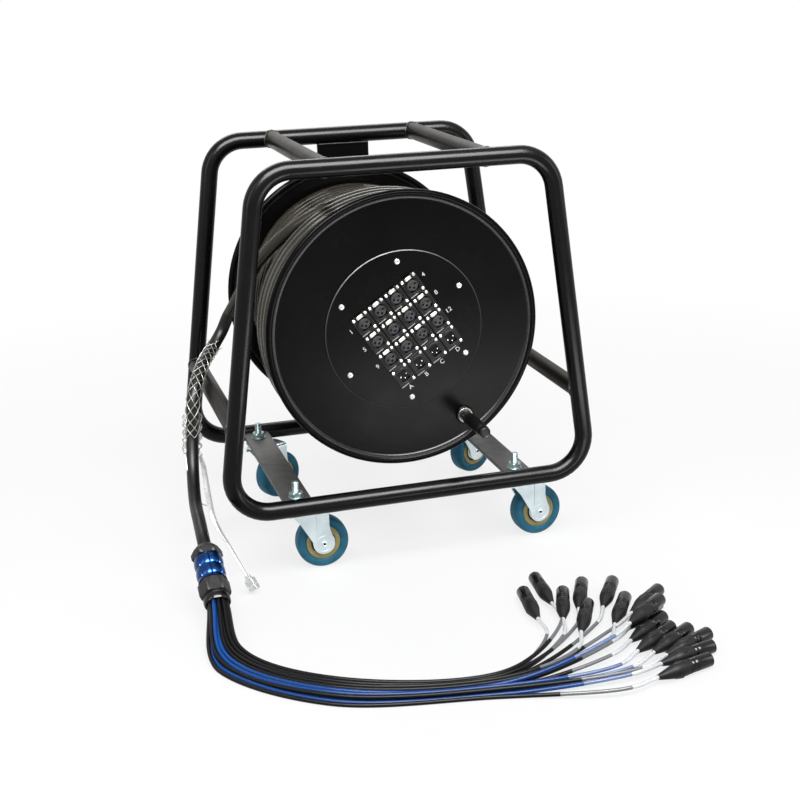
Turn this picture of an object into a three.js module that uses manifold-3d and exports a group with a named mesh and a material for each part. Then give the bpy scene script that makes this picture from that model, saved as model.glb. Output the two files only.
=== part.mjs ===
// A drum stage box snake: a multicore cable on a hand-turned reel in a wheeled tube frame, with sixteen
// three-pin sockets in the drum's front panel and a free tail that fans out into sixteen plugs.
// X points right, Y points back along the drum's axle and Z points up. The floor is Z = 0, and the
// origin is below the middle of the reel without its cable. Lengths are in millimetres.
import * as THREE from 'three';
import { mergeVertices } from 'three/addons/utils/BufferGeometryUtils.js';
import Module from 'manifold-3d';

const wasm = await Module();
wasm.setup();

// Clearances that every piece shares
const gap = 0.3;
const overrun = 2;
const weldTolerance = 0.0001;
const hexagonSides = 6;

// Frame of two bent tube hoops, four spacer tubes and two flat caster bars
const tubeRadius = 12.5;
const tubeSides = 12;
const hoopHeight = 460;
const hoopBottomHalfWidth = 263.4;
const hoopTopHalfWidth = 200.2;
const hoopBendRadius = 52;
const hoopBendSteps = 4;
const topSpacerOffset = 110;
const sideSpacerRise = 122;
const casterBarWidth = 40;
const casterBarThickness = 5;
const casterBarInset = 100.4;
const supportPlateWidth = 80;
const supportPlateThickness = 6;

// Swivel casters
const casterHeight = 102;
const casterSpan = 266;
const casterHoopInset = 34.5;
const wheelRadius = 37.5;
const wheelSides = 16;
const treadWidth = 25;
const treadShoulder = 4;
const wheelHubRadius = 15.5;
const wheelWebWidth = 21;
const wheelSideClearance = 2;
const casterTrail = 34;
const casterDegrees = { front_left: 0, front_right: 6, rear_left: 28, rear_right: 24 };
const wheelAxleRadius = 4;
const wheelAxleHead = 2.5;
const forkThickness = 2.5;
const forkEndRadius = 15.5;
const forkEndSteps = 5;
const forkEndDegrees = { from: 162, sweep: 207 };
const forkCupRadius = 16;
const forkCupHeight = 4.3;
const forkLegShares = [[-0.41, 1], [-0.41, 0.94], [0.6, 0.2]];
const forkFrontShares = [[1.32, 0.3], [1.24, 0.5], [1.24, 1]];
const raceRadius = 20;
const raceThickness = 5.7;
const stemRadius = 5;
const stemStandOut = 15;
const kingpinRadius = 4;
const kingpinHeadRadius = 7;
const kingpinHeadHeight = 3.5;
const nutAcrossFlats = 17;
const nutHeight = 8;

// Drum, its hub and the axle that stands out of the rear support plate
const drumAxisRise = 227;
const flangeRadius = 193.8;
const beadRadius = 5;
const flangeThickness = 2;
const flangeSegments = 30;
const beadSteps = 5;
const frontBeadInset = 32.5;
const rearBeadInset = 19.5;
const frontFlangeOpening = 88;
const barrelRadius = 115;
const barrelWall = 2;
const shaftRadius = 12.5;
const shaftShoulderRadius = 22;
const shaftEndStandOut = 3;
const hubRadius = 20;
const hubFrontY = -55;
const hubWebThickness = 3;
const collarRadius = 22;
const collarWidth = 10;
const axleNutAcrossFlats = 36;
const axleNutThickness = 8;
const roundSides = 20;

// Winding of the multicore cable
const cableRadius = 9;
const cableSides = 8;
const pinSides = 8;
const windingRadius = 156;
const windingPitch = 18.8;
const windingLayerStep = 19.1;
const windingFrontMargin = 12.5;
const windingSag = 8;
const windingSteps = 20;
const windingSides = 6;
const outerLoops = 4;
const climbPower = 12;
const crossingTurns = 0.13;
const crossingShift = 92;
const crossingPower = 1.6;
const exitAngleDegrees = 157;
const exitSlopeShare = 0.6;
const sagAngleDegrees = 225;
const leastWindingGap = 0.4;
const samplesPerStep = 4;

// Stage panel and its four rows of four sockets
const panelTiltDegrees = 34;
const panelRadius = 112;
const panelThickness = 2;
const panelSegments = 32;
const gridOffsetAlong = 3;
const gridOffsetUp = -3;
const columnPitch = 27.9;
const rowPitch = 31.9;
const columns = 4;
const rows = 4;
const socketPlateWidth = 26;
const socketPlateHeight = 31;
const socketPlateThickness = 2.2;
const socketBodyRadius = 11.7;
const socketSides = 10;
const socketBodySides = 8;
const socketDepth = 28;
const socketMouthRadius = 9.6;
const femaleRecess = 1;
const maleRecess = 12;
const pinRadius = 1.2;
const pinCircleRadius = 4.6;
const pinAnglesDegrees = [0, 180, 270];
const boardHeight = 14;
const boardThickness = 2.5;
const tabWidth = 10;
const tabHeight = 4;
const tabRise = 12.3;
const tabProud = 1.5;
const tabTravel = 1.2;

// Crank on the front flange
const crankRimMargin = 35.8;
const crankAngleDegrees = -57;
const crankFootRadius = 13;
const crankFootThickness = 3;
const crankBossRadius = 9;
const crankBossLength = 11;
const spindleRadius = 4;
const gripRadius = 8.8;
const gripNeckRadius = 8;
const gripTipRadius = 6;
const gripLength = 71.7;
const gripEndWall = 2.7;
const gripTaper = 15;

// Route of the free multicore from the drum, over the left spacer and down to its gland
const cableRoute = [
  [-213, 108, 292], [-231, 92, 272], [-254, 52, 257], [-276, 8, 224], [-284, -6, 166], [-290, -32, 126],
  [-296, -80, 98], [-299, -135, 88],
];
const cableSteps = 14;
const glandTop = [-301, -188, 74];
const glandFoot = [-300.5, -270, 28];
const sleeveFirstStep = 2;
const sleeveLastStep = 8;
const sleeveRadius = 11;
const glandNutCornerRadius = 21;
const glandBodyRadius = 19.5;
const glandUpperNutShare = 0.2;
const glandBodyShare = 0.42;
const glandThroatRadius = 16;
const glandThroatDepth = 2;
const glandThroatWall = 2;
const glandSides = 16;
const glandNeckShare = 0.72;
const glandShoulderShare = 0.33;

// Sixteen tails in two rows of lanes along the floor, each to its own plug
const tailRadius = 2.4;
const tailSides = 8;
const tailLead = 45;
const lanePitch = 6.4;
const laneRise = 5.6;
const lowerLanes = 9;
const throatCircles = { inner: 4.2, outer: 11.9 };
const throatPlaces = [
  ['outer', 0], ['outer', 30], ['outer', -30], ['outer', 60], ['outer', -60], ['inner', 45], ['inner', -45],
  ['outer', 90], ['outer', -90], ['inner', 135], ['inner', -135], ['outer', 120], ['outer', -120],
  ['outer', 150], ['outer', -150], ['outer', 180],
];
const floorClearance = 0.3;
const bundleRoute = [[-304, -376], [-200, -493], [-8, -543]];
const plugFronts = [
  [97, -332, 82], [128, -297, 84], [147, -349, 67], [182, -332, 63], [222, -343, 56], [163, -393, 60],
  [268, -387, 38], [217, -392, 55], [248, -424, 37], [240, -444, 36], [237, -459, 34], [234, -487, 33],
  [252, -499, 31], [268, -519, 24], [257, -549, 14], [238, -577, 14],
];
const raisedPlug = 9;
const raisedPlugRise = 17;
const plugLength = 80;
const plugRadius = 9.5;
const plugBootLength = 24;
const plugBootRadius = 3.4;
const plugSides = 8;

// Pull strap of the cable grip: a wire from the sleeve's lower end to a crimped ferrule
const strapRoute = [
  [-278, -60, 140], [-281, -112, 114], [-280, -146, 94], [-264, -166, 60], [-246, -190, 22],
];
const strapRadius = 1.6;
const strapSteps = 8;
const ferruleLength = 16;
const ferruleRadius = 4.2;

// Places that follow from the sizes above
const hoopSpacing = casterSpan + 2 * casterHoopInset;
const casterBarOffset = hoopBottomHalfWidth - casterBarInset;
const frontBeadY = frontBeadInset - hoopSpacing / 2;
const rearBeadY = hoopSpacing / 2 - rearBeadInset;
const crankCircleRadius = flangeRadius - crankRimMargin;
const hoopBaseZ = casterHeight + casterBarThickness / 2;
const hoopTopZ = hoopBaseZ + hoopHeight;
const drumAxisZ = hoopBaseZ + drumAxisRise;
const frontFaceY = frontBeadY - flangeThickness / 2;
const drumFrontInnerY = frontBeadY + flangeThickness / 2;
const drumRearInnerY = rearBeadY - flangeThickness / 2;
const panelBackY = frontFaceY - gap;
const panelFrontY = panelBackY - panelThickness;
const socketPlateBackY = panelFrontY - gap;
const socketPlateFrontY = socketPlateBackY - socketPlateThickness;
const crankFootY = frontFaceY - gap;
const crankBossY = crankFootY - crankFootThickness - crankBossLength;
const gripTipY = crankBossY - gap - gripLength;
const rearY = hoopSpacing / 2 + tubeRadius;
const middleY = (rearY + gripTipY) / 2;
const forkCrownTopZ = casterHeight - gap - raceThickness - gap - forkCupHeight;
const windingFrontY = drumFrontInnerY + windingFrontMargin;
const windingRearY = drumRearInnerY - gap - cableRadius;
const innerTurns = (windingRearY - windingFrontY) / windingPitch;
const outerRadius = windingRadius + windingLayerStep;
const sweptRadius = outerRadius + windingSag + cableRadius;
const wheelHubHalf = treadWidth / 2 + wheelSideClearance - gap;
const forkInnerY = treadWidth / 2 + wheelSideClearance;

const radians = THREE.MathUtils.degToRad;

// Vertices are welded, slivers dropped and faces turned outwards, so that each mesh is one closed body.
function finish(geometry) {
  const bare = geometry.clone();
  bare.deleteAttribute('normal');
  bare.deleteAttribute('uv');
  const welded = mergeVertices(bare, weldTolerance);
  const index = welded.index.array;
  const kept = [];
  for (let i = 0; i < index.length; i += 3) {
    const [a, b, c] = [index[i], index[i + 1], index[i + 2]];
    if (a !== b && b !== c && c !== a) kept.push(a, b, c);
  }
  if (signedVolume(welded, kept) < 0) {
    for (let i = 0; i < kept.length; i += 3) [kept[i + 1], kept[i + 2]] = [kept[i + 2], kept[i + 1]];
  }
  welded.setIndex(kept);
  welded.computeVertexNormals();
  return welded;
}

function signedVolume(geometry, index) {
  const position = geometry.attributes.position;
  const [a, b, c] = [new THREE.Vector3(), new THREE.Vector3(), new THREE.Vector3()];
  let volume = 0;
  for (let i = 0; i < index.length; i += 3) {
    a.fromBufferAttribute(position, index[i]);
    b.fromBufferAttribute(position, index[i + 1]);
    c.fromBufferAttribute(position, index[i + 2]);
    volume += a.dot(b.cross(c));
  }
  return volume;
}

// Booleans of closed geometries
function solidOf(geometry) {
  const closed = finish(geometry);
  const vertProperties = new Float32Array(closed.attributes.position.array);
  const triVerts = new Uint32Array(closed.index.array);
  return new wasm.Manifold(new wasm.Mesh({ numProp: 3, vertProperties, triVerts }));
}

function geometryOf(solid) {
  const mesh = solid.getMesh();
  const geometry = new THREE.BufferGeometry();
  geometry.setAttribute('position', new THREE.BufferAttribute(new Float32Array(mesh.vertProperties), 3));
  geometry.setIndex(new THREE.BufferAttribute(new Uint32Array(mesh.triVerts), 1));
  return finish(geometry);
}

function cut(base, tools) {
  return geometryOf(tools.reduce((solid, tool) => solid.subtract(solidOf(tool)), solidOf(base)));
}

function join(pieces) {
  return geometryOf(pieces.slice(1).reduce((solid, piece) => solid.add(solidOf(piece)), solidOf(pieces[0])));
}

// Hollows that crossing tails shut in between them are filled: only the outermost shell is kept.
function outerShell(geometry) {
  const index = Array.from(geometry.index.array);
  const parent = Array.from({ length: geometry.attributes.position.count }, (_, i) => i);
  const root = (i) => {
    let at = i;
    while (parent[at] !== at) at = parent[at];
    parent[i] = at;
    return at;
  };
  for (let i = 0; i < index.length; i += 3) {
    parent[root(index[i + 1])] = root(index[i]);
    parent[root(index[i + 2])] = root(index[i]);
  }
  const shells = new Map();
  for (let i = 0; i < index.length; i += 3) {
    const shell = root(index[i]);
    if (!shells.has(shell)) shells.set(shell, []);
    shells.get(shell).push(...index.slice(i, i + 3));
  }
  const outward = [...shells.values()].filter((shell) => signedVolume(geometry, shell) > 0);
  geometry.setIndex(outward.flat());
  return finish(geometry);
}

// Basic shapes
function turned(profile, segments) {
  return finish(new THREE.LatheGeometry(profile.map(([r, y]) => new THREE.Vector2(r, y)), segments));
}

function ring(innerRadius, outer, fromY, toY, segments) {
  const corners = [
    [innerRadius, fromY], [outer, fromY], [outer, toY], [innerRadius, toY], [innerRadius, fromY],
  ];
  return turned(corners, segments);
}

function rod(radius, fromY, toY, segments) {
  return turned([[0, fromY], [radius, fromY], [radius, toY], [0, toY]], segments);
}

function upright(geometry) {
  return geometry.rotateX(Math.PI / 2);
}

function block(sizeX, sizeY, sizeZ, x, y, z) {
  return new THREE.BoxGeometry(sizeX, sizeY, sizeZ).translate(x, y, z);
}

// The bore of a faceted hole whose flats clear a round piece by the shared gap
function clearBore(radius, sides) {
  return (radius + gap) / Math.cos(Math.PI / sides);
}

function circlePath(Kind, x, y, radius, sides) {
  const path = new Kind();
  for (let i = 0; i <= sides; i += 1) {
    const angle = (2 * Math.PI * i) / sides;
    const point = [x + radius * Math.cos(angle), y + radius * Math.sin(angle)];
    if (i === 0) path.moveTo(...point);
    else path.lineTo(...point);
  }
  return path;
}

// A flat outline in X and Z, as thick along Y as stated, with its back face at backY
function plateInXZ(shape, thickness, backY) {
  const plate = new THREE.ExtrudeGeometry(shape, { depth: thickness, bevelEnabled: false });
  return finish(plate.rotateX(Math.PI / 2).translate(0, backY, 0));
}

function hexagonCorner(inradius) {
  return inradius / Math.cos(Math.PI / hexagonSides);
}

function nutAlongZ(acrossFlats, height, holeRadius) {
  const shape = circlePath(THREE.Shape, 0, 0, hexagonCorner(acrossFlats / 2), hexagonSides);
  shape.holes.push(circlePath(THREE.Path, 0, 0, holeRadius, tubeSides));
  return finish(new THREE.ExtrudeGeometry(shape, { depth: height, bevelEnabled: false }));
}

function tubeBetween(from, to, radius, sides) {
  const path = new THREE.LineCurve3(new THREE.Vector3(...from), new THREE.Vector3(...to));
  return tubeAlong(path, radius, sides, 1);
}

function tubeAlong(path, radius, sides, steps) {
  const section = circlePath(THREE.Shape, 0, 0, radius, sides);
  return finish(new THREE.ExtrudeGeometry(section, { extrudePath: path, steps, bevelEnabled: false }));
}

// A piece turned about +Y is stood on a point with its +Y end towards a direction.
function aimed(geometry, at, direction) {
  const turn = new THREE.Quaternion().setFromUnitVectors(new THREE.Vector3(0, 1, 0), direction);
  return geometry.applyQuaternion(turn).translate(at.x, at.y, at.z);
}

// Hoops: the rounded outline of a hoop in X and Z, as points with their outward directions
function hoopStations() {
  const corners = [
    [hoopBottomHalfWidth, hoopBaseZ], [hoopTopHalfWidth, hoopTopZ],
    [-hoopTopHalfWidth, hoopTopZ], [-hoopBottomHalfWidth, hoopBaseZ],
  ].map(([x, z]) => new THREE.Vector2(x, z));
  const stations = [];
  corners.forEach((corner, i) => {
    const before = corners[(i + 3) % 4].clone().sub(corner).normalize();
    const after = corners[(i + 1) % 4].clone().sub(corner).normalize();
    const half = Math.acos(before.dot(after)) / 2;
    const middle = before.clone().add(after).normalize();
    const centre = corner.clone().addScaledVector(middle, hoopBendRadius / Math.sin(half));
    const sweep = Math.PI - 2 * half;
    const outward = middle.clone().negate().angle();
    for (let step = 0; step <= hoopBendSteps; step += 1) {
      const angle = outward - sweep / 2 + (sweep * step) / hoopBendSteps;
      const direction = new THREE.Vector2(Math.cos(angle), Math.sin(angle));
      stations.push({ point: centre.clone().addScaledVector(direction, hoopBendRadius), direction });
    }
  });
  return stations;
}

function hoop(atY) {
  const stations = hoopStations();
  const position = [];
  const index = [];
  stations.forEach(({ point, direction }, i) => {
    const next = (i + 1) % stations.length;
    for (let side = 0; side < tubeSides; side += 1) {
      const angle = (2 * Math.PI * side) / tubeSides;
      const place = point.clone().addScaledVector(direction, tubeRadius * Math.cos(angle));
      position.push(place.x, atY + tubeRadius * Math.sin(angle), place.y);
      const after = (side + 1) % tubeSides;
      const [a, b] = [i * tubeSides + side, i * tubeSides + after];
      const [c, d] = [next * tubeSides + side, next * tubeSides + after];
      index.push(a, b, c, b, d, c);
    }
  });
  const geometry = new THREE.BufferGeometry();
  geometry.setAttribute('position', new THREE.Float32BufferAttribute(position, 3));
  geometry.setIndex(index);
  return finish(geometry);
}

// Spacer tubes run from hoop to hoop, with ends coped to the stretch of hoop that they meet.
function spacer(x, z, [fromX, fromZ], [toX, toZ]) {
  const endY = hoopSpacing / 2;
  const tube = tubeBetween([x, -endY, z], [x, endY, z], tubeRadius, tubeSides);
  const cope = clearBore(tubeRadius, tubeSides);
  return cut(tube, [-endY, endY].map((y) => tubeBetween([fromX, y, fromZ], [toX, y, toZ], cope, tubeSides)));
}

function topSpacer(side) {
  const x = side * topSpacerOffset;
  return spacer(x, hoopTopZ, [-hoopTopHalfWidth, hoopTopZ], [hoopTopHalfWidth, hoopTopZ]);
}

function sideSpacer(side) {
  const lean = (hoopBottomHalfWidth - hoopTopHalfWidth) * (sideSpacerRise / hoopHeight);
  const x = side * (hoopBottomHalfWidth - lean);
  const foot = [side * hoopBottomHalfWidth, hoopBaseZ];
  const top = [side * hoopTopHalfWidth, hoopTopZ];
  return spacer(x, hoopBaseZ + sideSpacerRise, foot, top);
}

function casterBar(side) {
  const halfLength = hoopSpacing / 2 - tubeRadius - gap;
  const halfWidth = casterBarWidth / 2;
  const shape = new THREE.Shape([
    new THREE.Vector2(-halfWidth, -halfLength), new THREE.Vector2(halfWidth, -halfLength),
    new THREE.Vector2(halfWidth, halfLength), new THREE.Vector2(-halfWidth, halfLength),
  ]);
  for (const end of [-1, 1]) {
    const hole = clearBore(stemRadius, tubeSides);
    shape.holes.push(circlePath(THREE.Path, 0, (end * casterSpan) / 2, hole, tubeSides));
  }
  const bar = new THREE.ExtrudeGeometry(shape, { depth: casterBarThickness, bevelEnabled: false });
  return finish(bar.translate(side * casterBarOffset, 0, casterHeight));
}

function supportPlate() {
  const height = hoopHeight - 2 * tubeRadius - 2 * gap;
  const plate = block(supportPlateWidth, supportPlateThickness, height, 0, 0, hoopBaseZ + hoopHeight / 2);
  const bore = clearBore(shaftRadius, roundSides);
  const hole = rod(bore, -supportPlateThickness, supportPlateThickness, roundSides);
  return cut(plate, [hole.translate(0, 0, drumAxisZ)]).translate(0, hoopSpacing / 2, 0);
}

// Casters: each is drawn with its stem on the Z axis and its wheel trailing towards +X.
function casterStem() {
  const barTopZ = casterHeight + casterBarThickness;
  const raceTopZ = casterHeight - gap;
  const raceFootZ = raceTopZ - raceThickness;
  const headTopZ = forkCrownTopZ - forkThickness - gap;
  const tipZ = barTopZ + nutHeight + stemStandOut;
  const headFootZ = headTopZ - kingpinHeadHeight;
  return upright(turned([
    [0, headFootZ], [kingpinHeadRadius, headFootZ], [kingpinHeadRadius, headTopZ], [kingpinRadius, headTopZ],
    [kingpinRadius, raceFootZ], [raceRadius, raceFootZ], [raceRadius, raceTopZ], [stemRadius, raceTopZ],
    [stemRadius, tipZ], [0, tipZ],
  ], tubeSides));
}

function casterNut() {
  const bore = clearBore(stemRadius, tubeSides);
  const footZ = casterHeight + casterBarThickness + gap;
  return nutAlongZ(nutAcrossFlats, nutHeight, bore).translate(0, 0, footZ);
}

function forkLegShape() {
  const rise = forkCrownTopZ - wheelRadius;
  const place = ([along, up]) => new THREE.Vector2(along * casterTrail, wheelRadius + up * rise);
  const points = forkLegShares.map(place);
  for (let step = 0; step <= forkEndSteps; step += 1) {
    const angle = radians(forkEndDegrees.from + (forkEndDegrees.sweep * step) / forkEndSteps);
    const x = casterTrail + forkEndRadius * Math.cos(angle);
    points.push(new THREE.Vector2(x, wheelRadius + forkEndRadius * Math.sin(angle)));
  }
  return new THREE.Shape(points.concat(forkFrontShares.map(place)));
}

function casterFork() {
  const shape = forkLegShape();
  const outerY = forkInnerY + forkThickness;
  const legs = [outerY, -forkInnerY].map((backY) => plateInXZ(shape, forkThickness, backY));
  const rearX = forkLegShares[0][0] * casterTrail;
  const frontX = forkFrontShares[forkFrontShares.length - 1][0] * casterTrail;
  const crownZ = forkCrownTopZ - forkThickness / 2;
  const crown = block(frontX - rearX, 2 * outerY, forkThickness, (rearX + frontX) / 2, 0, crownZ);
  const cupTopZ = forkCrownTopZ + forkCupHeight;
  const cup = upright(rod(forkCupRadius, crownZ, cupTopZ, tubeSides));
  const axleEnd = outerY + wheelAxleHead;
  const axle = rod(wheelAxleRadius, -axleEnd, axleEnd, pinSides).translate(casterTrail, 0, wheelRadius);
  const bore = rod(clearBore(kingpinRadius, tubeSides), crownZ - overrun, cupTopZ + overrun, tubeSides);
  return cut(join([...legs, crown, cup, axle]), [upright(bore)]);
}

function casterWheel() {
  const flat = 1 / Math.cos(Math.PI / wheelSides);
  const bore = clearBore(wheelAxleRadius, wheelSides);
  const half = [
    [bore, wheelHubHalf], [wheelHubRadius, wheelHubHalf], [wheelHubRadius, wheelWebWidth / 2],
    [wheelRadius - treadShoulder, treadWidth / 2],
    [wheelRadius * flat, treadWidth / 2 - treadShoulder],
  ];
  const mirrored = half.map(([r, y]) => [r, -y]).reverse();
  const wheel = turned([...half, ...mirrored, half[0]], wheelSides);
  return wheel.rotateY(Math.PI / wheelSides).translate(casterTrail, 0, wheelRadius);
}

// Drum pieces, drawn about the Y axis
function flange(beadY, openingRadius) {
  const beadCentre = flangeRadius - beadRadius;
  const half = flangeThickness / 2;
  const start = Math.PI - Math.asin(half / beadRadius);
  const profile = [[openingRadius, beadY + half]];
  for (let step = 0; step <= beadSteps; step += 1) {
    const angle = start - (2 * start * step) / beadSteps;
    profile.push([beadCentre + beadRadius * Math.cos(angle), beadY + beadRadius * Math.sin(angle)]);
  }
  profile.push([openingRadius, beadY - half], profile[0]);
  return turned(profile, flangeSegments);
}

function drumHub() {
  const bore = clearBore(shaftRadius, roundSides);
  const rim = barrelRadius - barrelWall - gap;
  const webBackY = hubFrontY + hubWebThickness;
  const rearEndY = drumRearInnerY - gap;
  return turned([
    [bore, hubFrontY], [rim, hubFrontY], [rim, webBackY], [hubRadius, webBackY], [hubRadius, rearEndY],
    [bore, rearEndY], [bore, hubFrontY],
  ], roundSides);
}

function drumBarrel() {
  const inner = (barrelRadius - barrelWall) / Math.cos(Math.PI / windingSteps);
  return ring(inner, barrelRadius, drumFrontInnerY + gap, drumRearInnerY - gap, windingSteps);
}

function woundCore() {
  const inner = clearBore(barrelRadius, windingSteps);
  const outer = windingRadius * Math.cos(Math.PI / windingSteps) - cableRadius - gap;
  return ring(inner, outer, drumFrontInnerY + gap, drumRearInnerY - gap, windingSteps);
}

function axleShaft() {
  const plateFrontY = hoopSpacing / 2 - supportPlateThickness / 2;
  const shoulderY = rearBeadY + flangeThickness / 2 + gap;
  const frontY = hubFrontY - gap - collarWidth - shaftEndStandOut;
  const endY = hoopSpacing / 2 + supportPlateThickness / 2 + gap + axleNutThickness;
  return turned([
    [0, frontY], [shaftRadius, frontY], [shaftRadius, shoulderY], [shaftShoulderRadius, shoulderY],
    [shaftShoulderRadius, plateFrontY - gap], [shaftRadius, plateFrontY - gap], [shaftRadius, endY],
    [0, endY],
  ], roundSides);
}

function axleCollar() {
  const backY = hubFrontY - gap;
  return ring(clearBore(shaftRadius, roundSides), collarRadius, backY - collarWidth, backY, roundSides);
}

function axleNut() {
  const nut = nutAlongZ(axleNutAcrossFlats, axleNutThickness, clearBore(shaftRadius, tubeSides));
  const footY = hoopSpacing / 2 + supportPlateThickness / 2 + gap;
  return nut.rotateX(Math.PI / 2).translate(0, footY + axleNutThickness, 0);
}

// Centre line of the wound cable: an inner layer that runs forward, a climb against the front flange,
// four loops back over it, and the last loop that crosses the inner layer and leaves the drum.
function windingPoint(turn, endTurn) {
  const crossingStart = endTurn - crossingTurns;
  const angle = radians(exitAngleDegrees) + 2 * Math.PI * (turn - endTurn);
  const climb = THREE.MathUtils.clamp(turn - innerTurns + 1, 0, 1) ** climbPower;
  const sag = (climb * windingSag * (1 + Math.cos(angle - radians(sagAngleDegrees)))) / 2;
  const radius = windingRadius + climb * windingLayerStep + sag;
  const forward = Math.min(turn, innerTurns) * windingPitch;
  const backward = Math.max(turn - innerTurns, 0) * windingPitch;
  const crossing = Math.max(turn - crossingStart, 0) / crossingTurns;
  const y = windingRearY - forward + backward + crossingShift * crossing ** crossingPower;
  return new THREE.Vector3(radius * Math.cos(angle), y, radius * Math.sin(angle));
}

function exitTurn() {
  return innerTurns + outerLoops;
}

// The cable leaves the drum straight, until it is clear of everything that turns with the drum.
function exitLine() {
  const start = windingPoint(exitTurn(), exitTurn());
  const angle = radians(exitAngleDegrees);
  const direction = new THREE.Vector3(-Math.sin(angle), exitSlopeShare, Math.cos(angle)).normalize();
  const clearRadius = sweptRadius + cableRadius + gap;
  const inPlane = Math.sqrt(clearRadius ** 2 - (start.x ** 2 + start.z ** 2));
  const length = inPlane * Math.sqrt(1 + exitSlopeShare ** 2);
  return { start, direction, length, end: start.clone().addScaledVector(direction, length) };
}

function windingCentres() {
  const endTurn = exitTurn();
  const count = Math.ceil(endTurn * windingSteps);
  const centres = [];
  for (let i = 0; i <= count; i += 1) {
    centres.push(windingPoint(Math.max(endTurn - (count - i) / windingSteps, 0), endTurn));
  }
  const { start, direction, length, end } = exitLine();
  centres.push(start.clone().addScaledVector(direction, length / 2), end);
  return centres;
}

// A tube of equal rings on hand-placed centres, each ring square to the line there
function tubeOnCentres(centres, radius, sides) {
  const position = [];
  const index = [];
  const last = centres.length - 1;
  centres.forEach((centre, i) => {
    const tangent = centres[Math.min(i + 1, last)].clone().sub(centres[Math.max(i - 1, 0)]).normalize();
    const outward = new THREE.Vector3(centre.x, 0, centre.z).projectOnPlane(tangent).normalize();
    const across = tangent.clone().cross(outward);
    for (let side = 0; side < sides; side += 1) {
      const angle = (2 * Math.PI * side) / sides;
      const point = centre.clone().addScaledVector(outward, radius * Math.cos(angle));
      position.push(...point.addScaledVector(across, radius * Math.sin(angle)).toArray());
    }
  });
  for (let i = 0; i < last; i += 1) {
    for (let side = 0; side < sides; side += 1) {
      const after = (side + 1) % sides;
      const [a, b] = [i * sides + side, i * sides + after];
      index.push(a, b, a + sides, b, b + sides, a + sides);
    }
  }
  for (let side = 1; side < sides - 1; side += 1) {
    index.push(0, side + 1, side, last * sides, last * sides + side, last * sides + side + 1);
  }
  const geometry = new THREE.BufferGeometry();
  geometry.setAttribute('position', new THREE.Float32BufferAttribute(position, 3));
  geometry.setIndex(index);
  return finish(geometry);
}

// Least gap between stretches of the winding that are at least half a loop apart
function windingGap(centres) {
  const samples = [];
  for (let i = 0; i < centres.length - 1; i += 1) {
    for (let part = 0; part < samplesPerStep; part += 1) {
      samples.push(centres[i].clone().lerp(centres[i + 1], part / samplesPerStep));
    }
  }
  const apart = (samplesPerStep * windingSteps) / 2;
  let least = Infinity;
  for (let i = 0; i < samples.length; i += 1) {
    for (let j = i + apart; j < samples.length; j += 1) {
      least = Math.min(least, samples[i].distanceTo(samples[j]));
    }
  }
  return least - 2 * cableRadius;
}

function woundCable() {
  const centres = windingCentres();
  const least = windingGap(centres);
  const verdict = least > leastWindingGap ? 'clear' : 'too close';
  console.log(`wound cable: least gap to itself ${least.toFixed(2)} mm, ${verdict}`);
  return tubeOnCentres(centres, cableRadius, windingSides);
}

// Stage panel and sockets, drawn level; the group that holds them turns with the drum
function socketPlaces(row) {
  const z = gridOffsetUp + ((rows - 1) / 2 - row) * rowPitch;
  const firstX = gridOffsetAlong - ((columns - 1) / 2) * columnPitch;
  return Array.from({ length: columns }, (_, column) => [firstX + column * columnPitch, z]);
}

function stagePanel() {
  const shape = circlePath(THREE.Shape, 0, 0, panelRadius, panelSegments);
  const hole = clearBore(socketBodyRadius, socketBodySides);
  for (let row = 0; row < rows; row += 1) {
    for (const [x, z] of socketPlaces(row)) {
      shape.holes.push(circlePath(THREE.Path, x, z, hole, socketBodySides));
    }
  }
  return plateInXZ(shape, panelThickness, panelBackY);
}

function socket(isMale) {
  const backY = socketPlateBackY + socketDepth;
  const plateY = socketPlateBackY - socketPlateThickness / 2;
  const body = rod(socketBodyRadius, plateY, backY, socketBodySides);
  const recess = isMale ? maleRecess : femaleRecess;
  const mouth = rod(socketMouthRadius, socketPlateFrontY - overrun, socketPlateFrontY + recess, socketSides);
  const cuts = [mouth];
  if (!isMale) {
    const slotDepth = socketPlateThickness + 2 * overrun;
    const slotY = socketPlateBackY - slotDepth / 2;
    cuts.push(block(tabWidth + 2 * gap, slotDepth, tabHeight + 2 * gap, 0, slotY, tabRise));
  }
  const plate = block(socketPlateWidth, socketPlateThickness, socketPlateHeight, 0, plateY, 0);
  const shell = cut(join([plate, body]), cuts);
  if (!isMale) return shell;
  const pins = pinAnglesDegrees.map((degrees) => {
    const x = pinCircleRadius * Math.cos(radians(degrees));
    const z = pinCircleRadius * Math.sin(radians(degrees));
    const seatY = socketPlateFrontY + maleRecess + overrun;
    return rod(pinRadius, socketPlateFrontY + overrun, seatY, hexagonSides).translate(x, 0, z);
  });
  return join([shell, ...pins]);
}

function socketRow(row) {
  const places = socketPlaces(row);
  const pieces = places.map(([x, z]) => socket(row === rows - 1).translate(x, 0, z));
  const length = columns * columnPitch;
  const backY = socketPlateBackY + socketDepth;
  pieces.push(block(length, boardThickness, boardHeight, gridOffsetAlong, backY, places[0][1]));
  return join(pieces);
}

function pushTab(x, z) {
  const thickness = socketPlateThickness + tabProud - tabTravel - gap;
  const y = socketPlateFrontY - tabProud + thickness / 2;
  return finish(block(tabWidth, thickness, tabHeight, x, y, z + tabRise));
}

// Crank, drawn about the Y axis
function crankBracket() {
  const bossFootY = crankFootY - crankFootThickness;
  const spindleTipY = gripTipY + gripEndWall + gap;
  return turned([
    [0, crankFootY], [crankFootRadius, crankFootY], [crankFootRadius, bossFootY],
    [crankBossRadius, bossFootY],
    [crankBossRadius, crankBossY], [spindleRadius, crankBossY], [spindleRadius, spindleTipY],
    [0, spindleTipY],
  ], tubeSides);
}

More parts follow.
